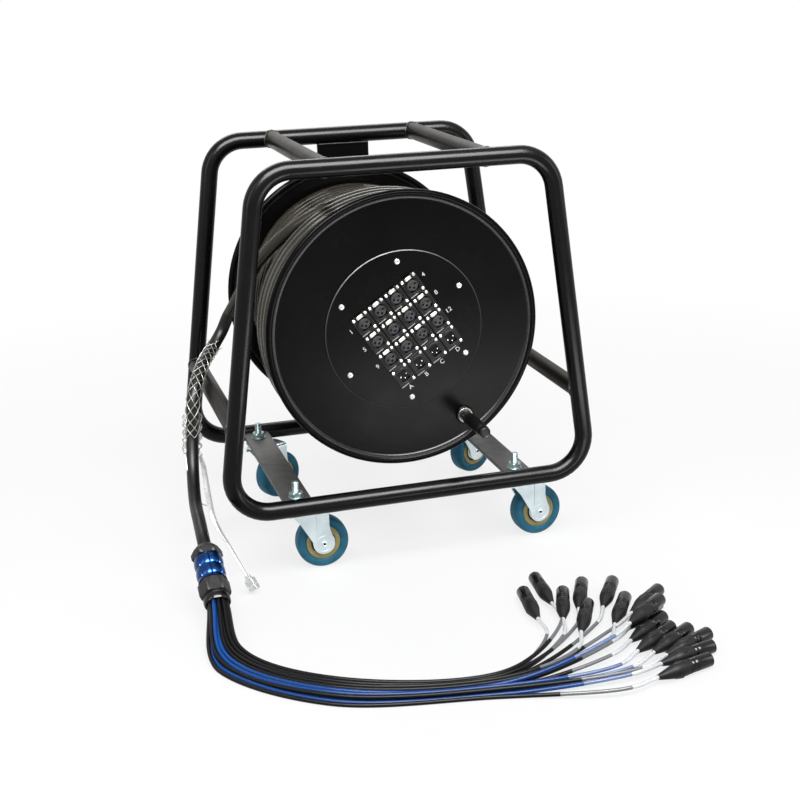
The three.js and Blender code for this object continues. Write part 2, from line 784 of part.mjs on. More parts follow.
function crankGrip() {
  const bore = clearBore(spindleRadius, tubeSides);
  const rootY = crankBossY - gap;
  const boreEndY = gripTipY + gripEndWall;
  return turned([
    [bore, rootY], [gripNeckRadius, rootY], [gripRadius, rootY - gripTaper],
    [gripRadius, gripTipY + gripTaper / 2], [gripTipRadius, gripTipY], [0, gripTipY], [0, boreEndY],
    [bore, boreEndY], [bore, rootY],
  ], tubeSides);
}

// A stretch of a curve between two of its shares
class Stretch extends THREE.Curve {
  constructor(curve, fromShare, toShare) {
    super();
    Object.assign(this, { curve, fromShare, toShare });
  }

  getPointAt(share, target) {
    return this.curve.getPointAt(THREE.MathUtils.lerp(this.fromShare, this.toShare, share), target);
  }

  getTangentAt(share, target) {
    return this.curve.getTangentAt(THREE.MathUtils.lerp(this.fromShare, this.toShare, share), target);
  }
}

// A curve whose equal shares fall on its own route points, so that tails side by side bend side by side
class StationCurve extends THREE.CatmullRomCurve3 {
  getPointAt(share, target) {
    return this.getPoint(share, target);
  }

  getTangentAt(share, target) {
    return this.getTangent(share, target);
  }
}

// Free multicore with its grip sleeve and gland
function glandAxis() {
  const top = new THREE.Vector3(...glandTop);
  const along = new THREE.Vector3(...glandFoot).sub(top);
  return { top, direction: along.clone().normalize(), length: along.length() };
}

function cableCurve() {
  const { direction, end } = exitLine();
  const first = end.clone().addScaledVector(direction, gap);
  first.z += drumAxisZ;
  const second = first.clone().addScaledVector(direction, cableRadius);
  const gland = glandAxis();
  const last = gland.top.clone().addScaledVector(gland.direction, -gap);
  const beforeLast = last.clone().addScaledVector(gland.direction, -cableRadius);
  const route = cableRoute.map((point) => new THREE.Vector3(...point));
  return new THREE.CatmullRomCurve3([first, second, ...route, beforeLast, last], false, 'centripetal');
}

function freeCable() {
  return tubeAlong(cableCurve(), cableRadius, cableSides, cableSteps);
}

function cableGrip() {
  const section = circlePath(THREE.Shape, 0, 0, sleeveRadius, cableSides);
  section.holes.push(circlePath(THREE.Path, 0, 0, clearBore(cableRadius, cableSides), cableSides));
  const stretch = new Stretch(cableCurve(), sleeveFirstStep / cableSteps, sleeveLastStep / cableSteps);
  const steps = sleeveLastStep - sleeveFirstStep;
  return finish(new THREE.ExtrudeGeometry(section, { extrudePath: stretch, steps, bevelEnabled: false }));
}

function glandNutUpper() {
  const { top, direction, length } = glandAxis();
  const end = glandUpperNutShare * length;
  const shoulder = glandShoulderShare * end;
  const neck = glandNeckShare * glandNutCornerRadius;
  const body = turned([
    [0, 0], [neck, 0], [glandNutCornerRadius, shoulder], [glandNutCornerRadius, end], [0, end],
  ], hexagonSides);
  return aimed(body, top, direction);
}

function glandBody() {
  const { top, direction, length } = glandAxis();
  const from = glandUpperNutShare * length + gap;
  const to = (glandUpperNutShare + glandBodyShare) * length - gap;
  return aimed(rod(glandBodyRadius, from, to, glandSides), top, direction);
}

function glandNutLower() {
  const { top, direction, length } = glandAxis();
  const from = (glandUpperNutShare + glandBodyShare) * length;
  const middle = (from + length) / 2;
  const neck = hexagonCorner(glandThroatRadius + glandThroatWall);
  const body = turned([
    [0, from], [glandNutCornerRadius, from], [glandNutCornerRadius, middle], [neck, length], [0, length],
  ], hexagonSides);
  const throat = rod(glandThroatRadius, length - glandThroatDepth, length + overrun, glandSides);
  return aimed(cut(body, [throat]), top, direction);
}

// Tails: places in the gland's throat, lanes on the floor and plugs at the ends
function throatPlace(tail) {
  const [circle, degrees] = throatPlaces[tail];
  const radius = throatCircles[circle];
  const angle = radians(degrees);
  return new THREE.Vector3(radius * Math.cos(angle), 0, -radius * Math.sin(angle));
}

function lanePlace(tail) {
  const lower = tail % 2 === 0 || tail === plugFronts.length - 1;
  const lane = lower ? Math.ceil(tail / 2) : tail / 2;
  const across = (lane - (lowerLanes - 1) / 2) * lanePitch;
  return { across, z: floorClearance + tailRadius + (lower ? 0 : laneRise) };
}

function plugPose(tail) {
  const [x, y, degrees] = plugFronts[tail];
  const direction = new THREE.Vector3(Math.cos(radians(degrees)), Math.sin(radians(degrees)), 0);
  const rise = tail === raisedPlug ? raisedPlugRise : 0;
  const front = new THREE.Vector3(x, y, floorClearance + plugRadius + rise);
  return { direction, boot: front.clone().addScaledVector(direction, -plugLength) };
}

function tailCurve(tail) {
  const { top, direction, length } = glandAxis();
  const turn = new THREE.Quaternion().setFromUnitVectors(new THREE.Vector3(0, 1, 0), direction);
  const place = throatPlace(tail).applyQuaternion(turn).add(top);
  const seat = place.clone().addScaledVector(direction, length - glandThroatDepth + 4 * gap);
  const { across, z } = lanePlace(tail);
  const route = bundleRoute.map(([x, y], i) => {
    const before = new THREE.Vector2(...bundleRoute[Math.max(i - 1, 0)]);
    const after = new THREE.Vector2(...bundleRoute[Math.min(i + 1, bundleRoute.length - 1)]);
    const heading = after.sub(before).normalize();
    return new THREE.Vector3(x + across * heading.y, y - across * heading.x, z);
  });
  const plug = plugPose(tail);
  const lead = plug.boot.clone().addScaledVector(plug.direction, -tailLead);
  const end = plug.boot.clone().addScaledVector(plug.direction, overrun);
  return new StationCurve([seat, ...route, lead, end], false, 'centripetal');
}

function tailPlug(tail) {
  const { direction, boot } = plugPose(tail);
  const profile = [
    [0, 0], [plugBootRadius, 0], [plugRadius, plugBootLength], [plugRadius, plugLength], [0, plugLength],
  ];
  return aimed(turned(profile, plugSides), boot, direction);
}

function fanOutTails() {
  const { top, direction, length } = glandAxis();
  const seat = length - glandThroatDepth + gap;
  const collar = aimed(rod(glandThroatRadius - 2 * gap, seat, length, glandSides), top, direction);
  const pieces = [collar];
  plugFronts.forEach((_, tail) => {
    const curve = tailCurve(tail);
    pieces.push(tubeAlong(curve, tailRadius, tailSides, curve.points.length - 1), tailPlug(tail));
  });
  return outerShell(join(pieces));
}

function gripStrap() {
  const sleeve = cableCurve();
  const sleeveEnd = sleeveLastStep / cableSteps;
  const along = sleeve.getTangentAt(sleeveEnd);
  const beside = new THREE.Vector3(1, 0, 0).projectOnPlane(along).normalize();
  const start = sleeve.getPointAt(sleeveEnd).addScaledVector(along, gap + strapRadius);
  start.addScaledVector(beside, cableRadius + 2 * gap + strapRadius);
  const points = [start, ...strapRoute.map((point) => new THREE.Vector3(...point))];
  const curve = new THREE.CatmullRomCurve3(points, false, 'centripetal');
  const end = points[points.length - 1];
  const direction = curve.getTangentAt(1);
  const ferrule = aimed(rod(ferruleRadius, -overrun, ferruleLength - overrun, pinSides), end, direction);
  return join([tubeAlong(curve, strapRadius, tailSides, strapSteps), ferrule]);
}

// Materials
function material(color, roughness, metalness) {
  return () => new THREE.MeshStandardMaterial({ color, roughness, metalness });
}

const blackPaint = material(0x17171a, 0.35, 0.2);
const blackSheet = material(0x0f0f10, 0.45, 0.2);
const steel = material(0x9a9c9e, 0.35, 1);
const zinc = material(0xc9ced0, 0.4, 0.9);
const blueTyre = material(0x2f6f96, 0.6, 0);
const cableJacket = material(0x3a3733, 0.5, 0);
const freeJacket = material(0x1c1c1e, 0.5, 0);
const socketBlack = material(0x202124, 0.5, 0.1);
const tabSilver = material(0xc8c6c2, 0.35, 0.8);
const gripRubber = material(0x121213, 0.7, 0);
const sleeveWire = material(0xb9bcbc, 0.35, 0.9);
const glandBlack = material(0x1d1d1f, 0.55, 0);
const glandBlue = material(0x1f4fa8, 0.3, 0.7);
const tailJacket = material(0x16171b, 0.5, 0);

function add(group, name, geometry, makeMaterial) {
  const mesh = new THREE.Mesh(geometry, makeMaterial());
  mesh.name = name;
  group.add(mesh);
  return mesh;
}

// Assembly
function addFrame(group) {
  add(group, 'front_hoop', hoop(-hoopSpacing / 2), blackPaint);
  add(group, 'rear_hoop', hoop(hoopSpacing / 2), blackPaint);
  for (const [side, name] of [[-1, 'left'], [1, 'right']]) {
    add(group, `top_spacer_${name}`, topSpacer(side), blackPaint);
    add(group, `side_spacer_${name}`, sideSpacer(side), blackPaint);
    add(group, `caster_bar_${name}`, casterBar(side), blackSheet);
  }
  add(group, 'support_plate', supportPlate(), blackSheet);
}

function addCasters(group) {
  for (const [name, degrees] of Object.entries(casterDegrees)) {
    const side = name.endsWith('left') ? -1 : 1;
    const end = name.startsWith('front') ? -1 : 1;
    const caster = new THREE.Group();
    caster.position.set(side * casterBarOffset, (end * casterSpan) / 2, 0);
    const swivel = new THREE.Group();
    swivel.rotation.z = radians(degrees);
    caster.add(swivel);
    group.add(caster);
    add(caster, `caster_stem_${name}`, casterStem(), zinc);
    add(caster, `caster_nut_${name}`, casterNut(), zinc);
    add(swivel, `caster_fork_${name}`, casterFork(), zinc);
    add(swivel, `caster_wheel_${name}`, casterWheel(), blueTyre);
  }
}

function addDrum(group) {
  const drum = new THREE.Group();
  drum.position.z = drumAxisZ;
  group.add(drum);
  add(drum, 'axle_shaft', axleShaft(), steel);
  add(drum, 'axle_collar', axleCollar(), steel);
  add(drum, 'axle_nut', axleNut(), steel);
  add(drum, 'front_flange', flange(frontBeadY, frontFlangeOpening), blackSheet);
  add(drum, 'rear_flange', flange(rearBeadY, clearBore(shaftRadius, flangeSegments)), blackSheet);
  add(drum, 'drum_barrel', drumBarrel(), blackSheet);
  add(drum, 'drum_hub', drumHub(), steel);
  add(drum, 'wound_core', woundCore(), cableJacket);
  add(drum, 'wound_cable', woundCable(), cableJacket);
  addPanel(drum);
  const crank = new THREE.Group();
  const angle = radians(crankAngleDegrees);
  crank.position.set(crankCircleRadius * Math.cos(angle), 0, crankCircleRadius * Math.sin(angle));
  drum.add(crank);
  add(crank, 'crank_bracket', crankBracket(), steel);
  add(crank, 'crank_grip', crankGrip(), gripRubber);
}

function addPanel(drum) {
  const panel = new THREE.Group();
  panel.rotation.y = -radians(panelTiltDegrees);
  drum.add(panel);
  add(panel, 'stage_panel', stagePanel(), blackSheet);
  for (let row = 0; row < rows; row += 1) {
    const isMale = row === rows - 1;
    add(panel, isMale ? 'return_sockets' : `send_sockets_${row + 1}`, socketRow(row), socketBlack);
    if (isMale) continue;
    socketPlaces(row).forEach(([x, z], column) => {
      add(panel, `push_tab_${row * columns + column + 1}`, pushTab(x, z), tabSilver);
    });
  }
}

function addFreeCable(group) {
  add(group, 'free_cable', freeCable(), freeJacket);
  add(group, 'cable_grip', cableGrip(), sleeveWire);
  add(group, 'gland_nut_upper', glandNutUpper(), glandBlack);
  add(group, 'gland_body', glandBody(), glandBlue);
  add(group, 'gland_nut_lower', glandNutLower(), glandBlack);
  add(group, 'fan_out_tails', fanOutTails(), tailJacket);
  add(group, 'grip_strap', gripStrap(), sleeveWire);
}

const stageBoxSnake = new THREE.Group();
const reel = new THREE.Group();
reel.position.y = -middleY;
stageBoxSnake.add(reel);
addFrame(reel);
addCasters(reel);
addDrum(reel);
addFreeCable(reel);

export default stageBoxSnake;
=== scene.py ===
"""Looks of a drum stage box snake: a multicore cable on a hand-turned reel in a wheeled tube frame.

Shapes are drawn in the reel's own millimetres: X right, Y back along the drum's axle, Z up from the
floor, with the middle of the tube frame at Y = 0. place() turns them into the frame's metres.
"""

import math
import random

import bmesh
import bpy
import numpy as np
from mathutils import Matrix, Vector


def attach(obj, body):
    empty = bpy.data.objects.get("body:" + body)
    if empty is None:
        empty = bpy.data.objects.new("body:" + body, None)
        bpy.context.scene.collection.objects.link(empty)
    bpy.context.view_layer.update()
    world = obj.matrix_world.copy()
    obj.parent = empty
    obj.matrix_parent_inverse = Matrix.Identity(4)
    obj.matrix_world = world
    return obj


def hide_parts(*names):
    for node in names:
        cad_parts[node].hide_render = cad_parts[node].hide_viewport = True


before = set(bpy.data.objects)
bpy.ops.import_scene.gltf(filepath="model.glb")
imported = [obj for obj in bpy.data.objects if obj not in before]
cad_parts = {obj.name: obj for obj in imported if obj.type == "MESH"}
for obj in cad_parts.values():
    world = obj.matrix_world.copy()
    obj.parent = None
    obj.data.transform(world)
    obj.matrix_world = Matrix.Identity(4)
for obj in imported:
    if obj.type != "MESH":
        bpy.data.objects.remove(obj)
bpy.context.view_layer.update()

MM = 0.001
REEL_Y = 21.15
AXIS_Z = 331.5
TURN = 2 * math.pi
X_AXIS, Y_AXIS, Z_AXIS = Vector((1, 0, 0)), Vector((0, 1, 0)), Vector((0, 0, 1))

# Tube frame
TUBE_RADIUS = 12.5
HOOP_BASE_Z = 104.5
HOOP_TOP_Z = 564.5
HOOP_BOTTOM_HALF = 263.4
HOOP_TOP_HALF = 200.2
HOOP_Y = 167.5
BEND_RADIUS = 52
TOP_SPACER_X = 110
SIDE_SPACER_RISE = 122
BAR_WIDTH = 40
BAR_THICKNESS = 5
PLATE_WIDTH = 80
PLATE_THICKNESS = 6

# Casters, drawn with the stem on the Z axis and the wheel trailing towards +X: X, Y and swivel in degrees
CASTER_X = 163
CASTER_Y = 133
CASTER_HEIGHT = 102
CASTERS = {
    "front_left": (-CASTER_X, -CASTER_Y, 0),
    "front_right": (CASTER_X, -CASTER_Y, 6),
    "rear_left": (-CASTER_X, CASTER_Y, 28),
    "rear_right": (CASTER_X, CASTER_Y, 24),
}
TRAIL = 34
WHEEL_RADIUS = 37.5
CROWN_Z = 91.4
FORK_INNER_Y = 14.5
FORK_THICKNESS = 2.5
FORK_OUTER_Y = FORK_INNER_Y + FORK_THICKNESS
FORK_END_RADIUS = 15.5

# Drum, with the stage panel in its front flange
FLANGE_RADIUS = 193.8
BEAD_RADIUS = 5
FRONT_Y = -135
REAR_Y = 148
PANEL_RADIUS = 112
PANEL_BACK_Y = -136.3
PANEL_FRONT_Y = -138.3
PANEL_TILT = math.radians(34)
SOCKET_FRONT_Y = -140.8
COLUMN_PITCH = 27.9
ROW_PITCH = 31.9
GRID_X = 3
GRID_Z = -3
CRANK_X = 86.05
CRANK_Z = 198.99

# Winding: turns run to the front, climb on the last one and run back over it
CABLE_RADIUS = 9
WINDING_RADIUS = 156
PITCH = 18.8
LAYER_STEP = 19.1
SAG = 8
SAG_ANGLE = math.radians(225)
OUTER_TURNS = 4
REAR_LOOP_Y = 137.7
INNER_TURNS = (REAR_LOOP_Y + 121.5) / PITCH
END_TURN = INNER_TURNS + OUTER_TURNS
CROSSING_TURNS = 0.13
CROSSING_REACH = 92
CROSSING_POWER = 1.6
CLIMB_POWER = 12
EXIT_ANGLE = math.radians(157)
EXIT_SLOPE = 0.6
SWEPT_RADIUS = WINDING_RADIUS + LAYER_STEP + SAG + CABLE_RADIUS

# Free cable, its gland and its wire grip
JOINT_GAP = 0.3
CABLE_ROUTE = [
    (-213, 108, 292), (-231, 92, 272), (-254, 52, 257), (-276, 8, 224), (-284, -6, 166), (-290, -32, 126),
    (-296, -80, 98), (-299, -135, 88),
]
GLAND_TOP = Vector((-301, -188, 74))
GLAND_FOOT = Vector((-300.5, -270, 28))
GLAND_LENGTH = (GLAND_FOOT - GLAND_TOP).length
GLAND_AXIS = (GLAND_FOOT - GLAND_TOP).normalized()
GLAND_RADIUS = 21
GLAND_BORE = 9.3
UPPER_NUT_END = 0.2 * GLAND_LENGTH
LOWER_NUT_START = 0.62 * GLAND_LENGTH
GRIP_TURNS = 2.2
GRIP_WIRES = 5
GRIP_RADIUS = 9.9
WIRE_RADIUS = 0.48
FRAY_RADIUS = 0.38
CURL_RADIUS = 0.55
WEAVE = 0.4
WOVEN_SHARE = 0.88
CURLS_FROM = 0.68
SLEEVE_FROM = 2 / 14
SLEEVE_TO = 8 / 14
STRAP_ROUTE = [(-278, -60, 140), (-281, -112, 114), (-280, -146, 94), (-264, -166, 60), (-246, -190, 22)]
STRAP_THICK = 0.55
LEG_THICK = 0.4
LEG_HALF_WIDTH = 1.2

# Tails: where each leaves the gland, as radius and degrees, and each plug's front, as X, Y and heading
BUNDLE_ROUTE = [Vector((-304, -376)), Vector((-200, -493)), Vector((-8, -543))]
LANE_PITCH = 6.4
LANE_RISE = 5.6
LANE_Z = 2.7
MIDDLE_LANE = 4
SEAT_DEPTH = 2.8
LEAD_IN = 45
TAIL_RADIUS = 2.5
TAIL_RADII = (2.6, 2.32, 2.66)
WHITE_LENGTH = (40, 48)
UNSHEATHED_LENGTH = (52, 84)
THROAT = [
    (11.9, 0), (11.9, 30), (11.9, -30), (11.9, 60), (11.9, -60), (4.2, 45), (4.2, -45), (11.9, 90),
    (11.9, -90), (4.2, 135), (4.2, -135), (11.9, 120), (11.9, -120), (11.9, 150), (11.9, -150), (11.9, 180),
]
PLUGS = [
    (97, -332, 82), (128, -297, 84), (147, -349, 67), (182, -332, 63), (222, -343, 56), (163, -393, 60),
    (268, -387, 38), (217, -392, 55), (248, -424, 37), (240, -444, 36), (237, -459, 34), (234, -487, 33),
    (252, -499, 31), (268, -519, 24), (257, -549, 14), (238, -577, 14),
]
PLUG_LENGTH = 80
PLUG_REST_Z = 9.8
RAISED_PLUG = 9
RAISED_BY = 17
BLUE_TAILS = (9, 11, 12, 14)


# Shapes: points in reel millimetres, faces that index them, a mark that picks each face's finish, and for a
# tube's points where they lie around and along it
class Shape:
    def __init__(self, points=(), faces=(), marks=None, around=None):
        self.points = [tuple(p) for p in points]
        self.faces = [tuple(f) for f in faces]
        self.marks = list(marks) if marks else [0] * len(self.faces)
        self.around = dict(around or {})

    def add(self, other, mark=None):
        start = len(self.points)
        self.points += other.points
        self.faces += [tuple(i + start for i in f) for f in other.faces]
        self.marks += other.marks if mark is None else [mark] * len(other.faces)
        self.around.update({i + start: uv for i, uv in other.around.items()})
        return self

    def moved(self, matrix):
        return Shape([matrix @ Vector(p) for p in self.points], self.faces, self.marks, self.around)

    def shifted(self, x=0.0, y=0.0, z=0.0):
        return self.moved(Matrix.Translation((x, y, z)))


def joined(shapes):
    whole = Shape()
    for shape in shapes:
        whole.add(shape)
    return whole


def layered(*layers):
    """One shape of several layers: a shape or a list of them, whose faces get the layer's number as mark."""
    whole = Shape()
    for mark, layer in enumerate(layers):
        for shape in layer if isinstance(layer, list) else [layer]:
            whole.add(shape, mark)
    return whole


def polar(radius, angle):
    return radius * math.cos(angle), radius * math.sin(angle)


def walls(count, rings, closed=False):
    """Quads between rings of count points each, and from the last ring to the first if closed."""
    faces = []
    for ring in range(rings if closed else rings - 1):
        a, b = ring * count, (ring + 1) % rings * count
        faces += [(a + i, a + (i + 1) % count, b + (i + 1) % count, b + i) for i in range(count)]
    return faces


def ends(count, rings):
    """The faces that close the first and the last ring."""
    last = (rings - 1) * count
    return [tuple(range(count))[::-1], tuple(range(last, last + count))]


def extruded(outline, places):
    """An outline in X and Z, or one for each place, repeated at places along Y and closed at both ends."""
    outlines = outline if isinstance(outline[0], list) else [outline] * len(places)
    points = [(x, y, z) for ring, y in zip(outlines, places) for x, z in ring]
    count = len(outlines[0])
    return Shape(points, ends(count, len(places)) + walls(count, len(places)))


def turned(profile, segments=64, sweep=None):
    """A profile of (radius, y) turned about the Y axis; it closes on itself unless it meets the axis."""
    points, rings = [], []
    for radius, y in profile:
        start = len(points)
        if radius == 0:
            points.append((0, y, 0))
            rings.append([start] * segments)
            continue
        rings.append(range(start, start + segments))
        for i in range(segments):
            angle = TURN * i / segments
            x, z = polar(sweep(radius, y, angle) if sweep else radius, angle)
            points.append((x, y, z))
    pairs = list(zip(rings, rings[1:]))
    if profile[0][0] > 0 and profile[-1][0] > 0:
        pairs.append((rings[-1], rings[0]))
    faces = []
    for a, b in pairs:
        for i in range(segments):
            j = (i + 1) % segments
            faces.append(tuple(dict.fromkeys((a[i], a[j], b[j], b[i]))))
    return Shape(points, [f for f in faces if len(f) > 2])


def raised(profile, by, side=1):
    """A profile moved along its axis, or mirrored too if side is -1."""
    return [(radius, side * (y + by)) for radius, y in profile]


def block(radius, front_y, back_y, inner=0):
    """The profile of a plain disc or ring."""
    return [(inner, front_y), (radius, front_y), (radius, back_y), (inner, back_y)]


def tangents(line, closed=False):
    padded = [line[-1], *line, line[0]] if closed else [line[0], *line, line[-1]]
    return [(after - before).normalized() for before, after in zip(padded, padded[2:])]


def frames_along(line, guide=None, closed=False, fixed=False):
    """Each point with two directions square to the line, and its tangent. They keep to the guide if fixed."""
    found, side = [], None
    for point, tangent in zip(line, tangents(line, closed)):
        if side is None or fixed:
            side = (guide or (Z_AXIS if abs(tangent.z) < 0.9 else X_AXIS)).cross(tangent)
        side = (side - side.dot(tangent) * tangent).normalized()
        found.append((point, side, tangent.cross(side), tangent))
    return found


def swept(line, radius, sides=16, closed=False, up=None):
    """A tube along a line of points. radius may be a list, one for each point."""
    line = [Vector(p) for p in line]
    radii = radius if isinstance(radius, list) else [radius] * len(line)
    points, around = [], {}
    frames = frames_along(line, up, closed, up is not None)
    for (centre, side, other, _), r, far in zip(frames, radii, lengths(line)):
        for k in range(sides):
            a, b = polar(r, TURN * k / sides)
            around[len(points)] = (k / sides, far * MM)
            points.append(centre + a * side + b * other)
    faces = walls(sides, len(line), closed)
    if not closed:
        faces += ends(sides, len(line))
    return Shape(points, faces, around=around)


def inset(outline, by):
    """A flat outline moved inwards by a small distance; its points run counterclockwise."""
    moved = []
    for i, (x, z) in enumerate(outline):
        here, after = Vector((x, z)), Vector(outline[(i + 1) % len(outline)])
        a, b = (here - Vector(outline[i - 1])).normalized(), (after - here).normalized()
        normal = Vector((-(a.y + b.y), a.x + b.x))
        length = max(normal.length, 1e-6)
        reach = by / max(0.4, length / 2)
        moved.append((x + normal.x / length * reach, z + normal.y / length * reach))
    return moved


def slab(outline, front_y, back_y, chamfer=0.4):
    """A plate of that outline in X and Z, between two places along Y, with chamfered edges."""
    area = sum(a[0] * b[1] - b[0] * a[1] for a, b in zip(outline, outline[1:] + outline[:1]))
    if area < 0:
        outline = outline[::-1]
    small = inset(outline, chamfer)
    return extruded([small, outline, outline, small], [front_y, front_y + chamfer, back_y - chamfer, back_y])


def rounded(width, height, radius, x=0.0, z=0.0, steps=5):
    """The outline of a rectangle with round corners, about a point."""
    outline = []
    for corner, (sx, sz) in enumerate([(1, -1), (1, 1), (-1, 1), (-1, -1)]):
        cx, cz = x + sx * (width / 2 - radius), z + sz * (height / 2 - radius)
        for i in range(steps + 1):
            a, b = polar(radius, math.radians(90 * (corner - 1) + 90 * i / steps))
            outline.append((cx + a, cz + b))
    return outline


def six_flats(half):
    """A sweep that cuts a turned profile down to six flats at half a width across."""
    return lambda radius, y, angle: min(radius, half / math.cos(angle % (TURN / 6) - TURN / 12))


def hexagonal(across, front_y, back_y, bore=0.0, chamfer=1.2):
    """A nut about the Y axis, with its corners turned down at both ends."""
    half = across / 2
    profile = [
        (bore, front_y), (half * 0.9, front_y), (half * 1.02, front_y), (half * 1.2, front_y + chamfer),
        (half * 1.2, back_y - chamfer), (half * 1.02, back_y), (half * 0.9, back_y), (bore, back_y),
    ]
    return turned(profile, 48, six_flats(half))


def upright(shape):
    """A shape about the Y axis is stood up along Z."""
    return shape.moved(Matrix.Rotation(math.pi / 2, 4, "X"))


def about_axle(shape):
    return shape.shifted(0, 0, AXIS_Z)


def aimed(shape, at, direction):
    """A shape about the Y axis is put on a point with its +Y end towards a direction."""
    turn = Y_AXIS.rotation_difference(Vector(direction)).to_matrix().to_4x4()
    return shape.moved(Matrix.Translation(at) @ turn)


def smooth_line(points, per_span=12):
    """Points of a centripetal Catmull-Rom curve through the given ones."""
    points = [Vector(p) for p in points]
    padded = [2 * points[0] - points[1], *points, 2 * points[-1] - points[-2]]
    line = []
    for p0, p1, p2, p3 in zip(padded, padded[1:], padded[2:], padded[3:]):
        d0, d1, d2 = ((b - a).length ** 0.5 for a, b in ((p0, p1), (p1, p2), (p2, p3)))
        t1 = ((p1 - p0) / d0 - (p2 - p0) / (d0 + d1) + (p2 - p1) / d1) * d1
        t2 = ((p2 - p1) / d1 - (p3 - p1) / (d1 + d2) + (p3 - p2) / d2) * d1
        c2, c3 = 3 * (p2 - p1) - 2 * t1 - t2, 2 * (p1 - p2) + t1 + t2
        for t in np.arange(per_span) / per_span:
            line.append(p1 + t1 * t + c2 * t**2 + c3 * t**3)
    return [*line, points[-1]]


def lengths(line):
    """The distance along a line at each of its points."""
    found = [0.0]
    for a, b in zip(line, line[1:]):
        found.append(found[-1] + (b - a).length)
    return found


def spaced(line, step):
    """The same line, with points at even distances."""
    far = lengths(line)
    at = np.linspace(0, far[-1], max(2, round(far[-1] / step)) + 1)
    xyz = np.array([tuple(p) for p in line])
    return [Vector(p) for p in np.stack([np.interp(at, far, xyz[:, k]) for k in range(3)], 1)]


def stretch(line, from_share, to_share, step):
    """An evenly spaced part of a line, between two shares of its length."""
    fine = spaced(line, 0.5)
    first, last = round(from_share * (len(fine) - 1)), round(to_share * (len(fine) - 1))
    return spaced(fine[first : last + 1], step)


# Camera, set from the photograph's angle
CAMERA_PLACE = (-0.5162, -1.84305, 0.8120)
CAMERA_DEGREES = (-16.3609, 17.8633, -1.5683)
LENS = 61.128
SENSOR_WIDTH = 36


def linked(made):
    bpy.context.scene.collection.objects.link(made)
    return made


def add_camera():
    azimuth, elevation, roll = (math.radians(d) for d in CAMERA_DEGREES)
    level, rise = polar(1, elevation)
    ahead = Vector((-math.sin(azimuth) * level, math.cos(azimuth) * level, -rise))
    right = ahead.cross(Z_AXIS).normalized()
    top = right.cross(ahead)
    across = math.cos(roll) * right + math.sin(roll) * top
    above = math.cos(roll) * top - math.sin(roll) * right
    camera = linked(bpy.data.objects.new("camera", bpy.data.cameras.new("camera")))
    camera.data.sensor_width = SENSOR_WIDTH
    camera.data.lens = LENS
    camera.location = CAMERA_PLACE
    camera.rotation_euler = Matrix((across, above, -ahead)).transposed().to_euler()
    bpy.context.scene.camera = camera


add_camera()


# Materials
def add_node(tree, kind, inputs=None, **settings):
    node = tree.nodes.new(kind)
    for key, value in settings.items():
        setattr(node, key, value)
    for key, value in (inputs or {}).items():
        if isinstance(value, bpy.types.NodeSocket):
            tree.links.new(value, node.inputs[key])
        else:
            node.inputs[key].default_value = value
    return node


def math_node(tree, operation, *values):
    return add_node(tree, "ShaderNodeMath", dict(enumerate(values)), operation=operation).outputs[0]


def linear(colour):
    """A colour of display shares as a linear one with alpha."""
    return tuple(c / 12.92 if c <= 0.04045 else ((c + 0.055) / 1.055) ** 2.4 for c in colour) + (1.0,)


def noise(tree, vector, scale, detail=4.0, roughness=0.55):
    inputs = {"Vector": vector, "Scale": scale, "Detail": detail, "Roughness": roughness}
    return add_node(tree, "ShaderNodeTexNoise", inputs).outputs["Fac"]


def ranged(tree, value, low, high, from_low=0.3, from_high=0.7):
    inputs = {"Value": value, "From Min": from_low, "From Max": from_high, "To Min": low, "To Max": high}
    return add_node(tree, "ShaderNodeMapRange", inputs).outputs["Result"]


def mixed(tree, factor, a, b):
    """Colour a or b by a factor; the mix node's sockets 0, 6 and 7 are its factor and its two colours."""
    return add_node(tree, "ShaderNodeMix", {0: factor, 6: a, 7: b}, data_type="RGBA").outputs[2]


def coordinates(tree, squeeze=(1, 1, 1)):
    here = add_node(tree, "ShaderNodeTexCoord").outputs["Object"]
    return add_node(tree, "ShaderNodeMapping", {"Vector": here, "Scale": squeeze}).outputs["Vector"]


def lengthwise(tree, stretch_along):
    """Coordinates that run round a tube without a seam, and slowly along it."""
    uv = add_node(tree, "ShaderNodeTexCoord").outputs["UV"]
    parts = add_node(tree, "ShaderNodeSeparateXYZ", {"Vector": uv}).outputs
    angle = math_node(tree, "MULTIPLY", parts["X"], TURN)
    sine, cosine = math_node(tree, "SINE", angle), math_node(tree, "COSINE", angle)
    far = math_node(tree, "MULTIPLY", parts["Y"], stretch_along)
    return add_node(tree, "ShaderNodeCombineXYZ", {"X": sine, "Y": cosine, "Z": far}).outputs["Vector"]


def new_material(name):
    """A material, its node tree and its shader."""
    material = bpy.data.materials.new(name)
    material.use_nodes = True
    return material, material.node_tree, material.node_tree.nodes["Principled BSDF"]


def worn(tree, spots, colour, worn_colour, amount):
    """A colour with worn spots of another one."""
    edge = 1.0 - amount
    return mixed(tree, ranged(tree, spots, 0.0, 1.0, edge, edge + 0.03), colour, linear(worn_colour))


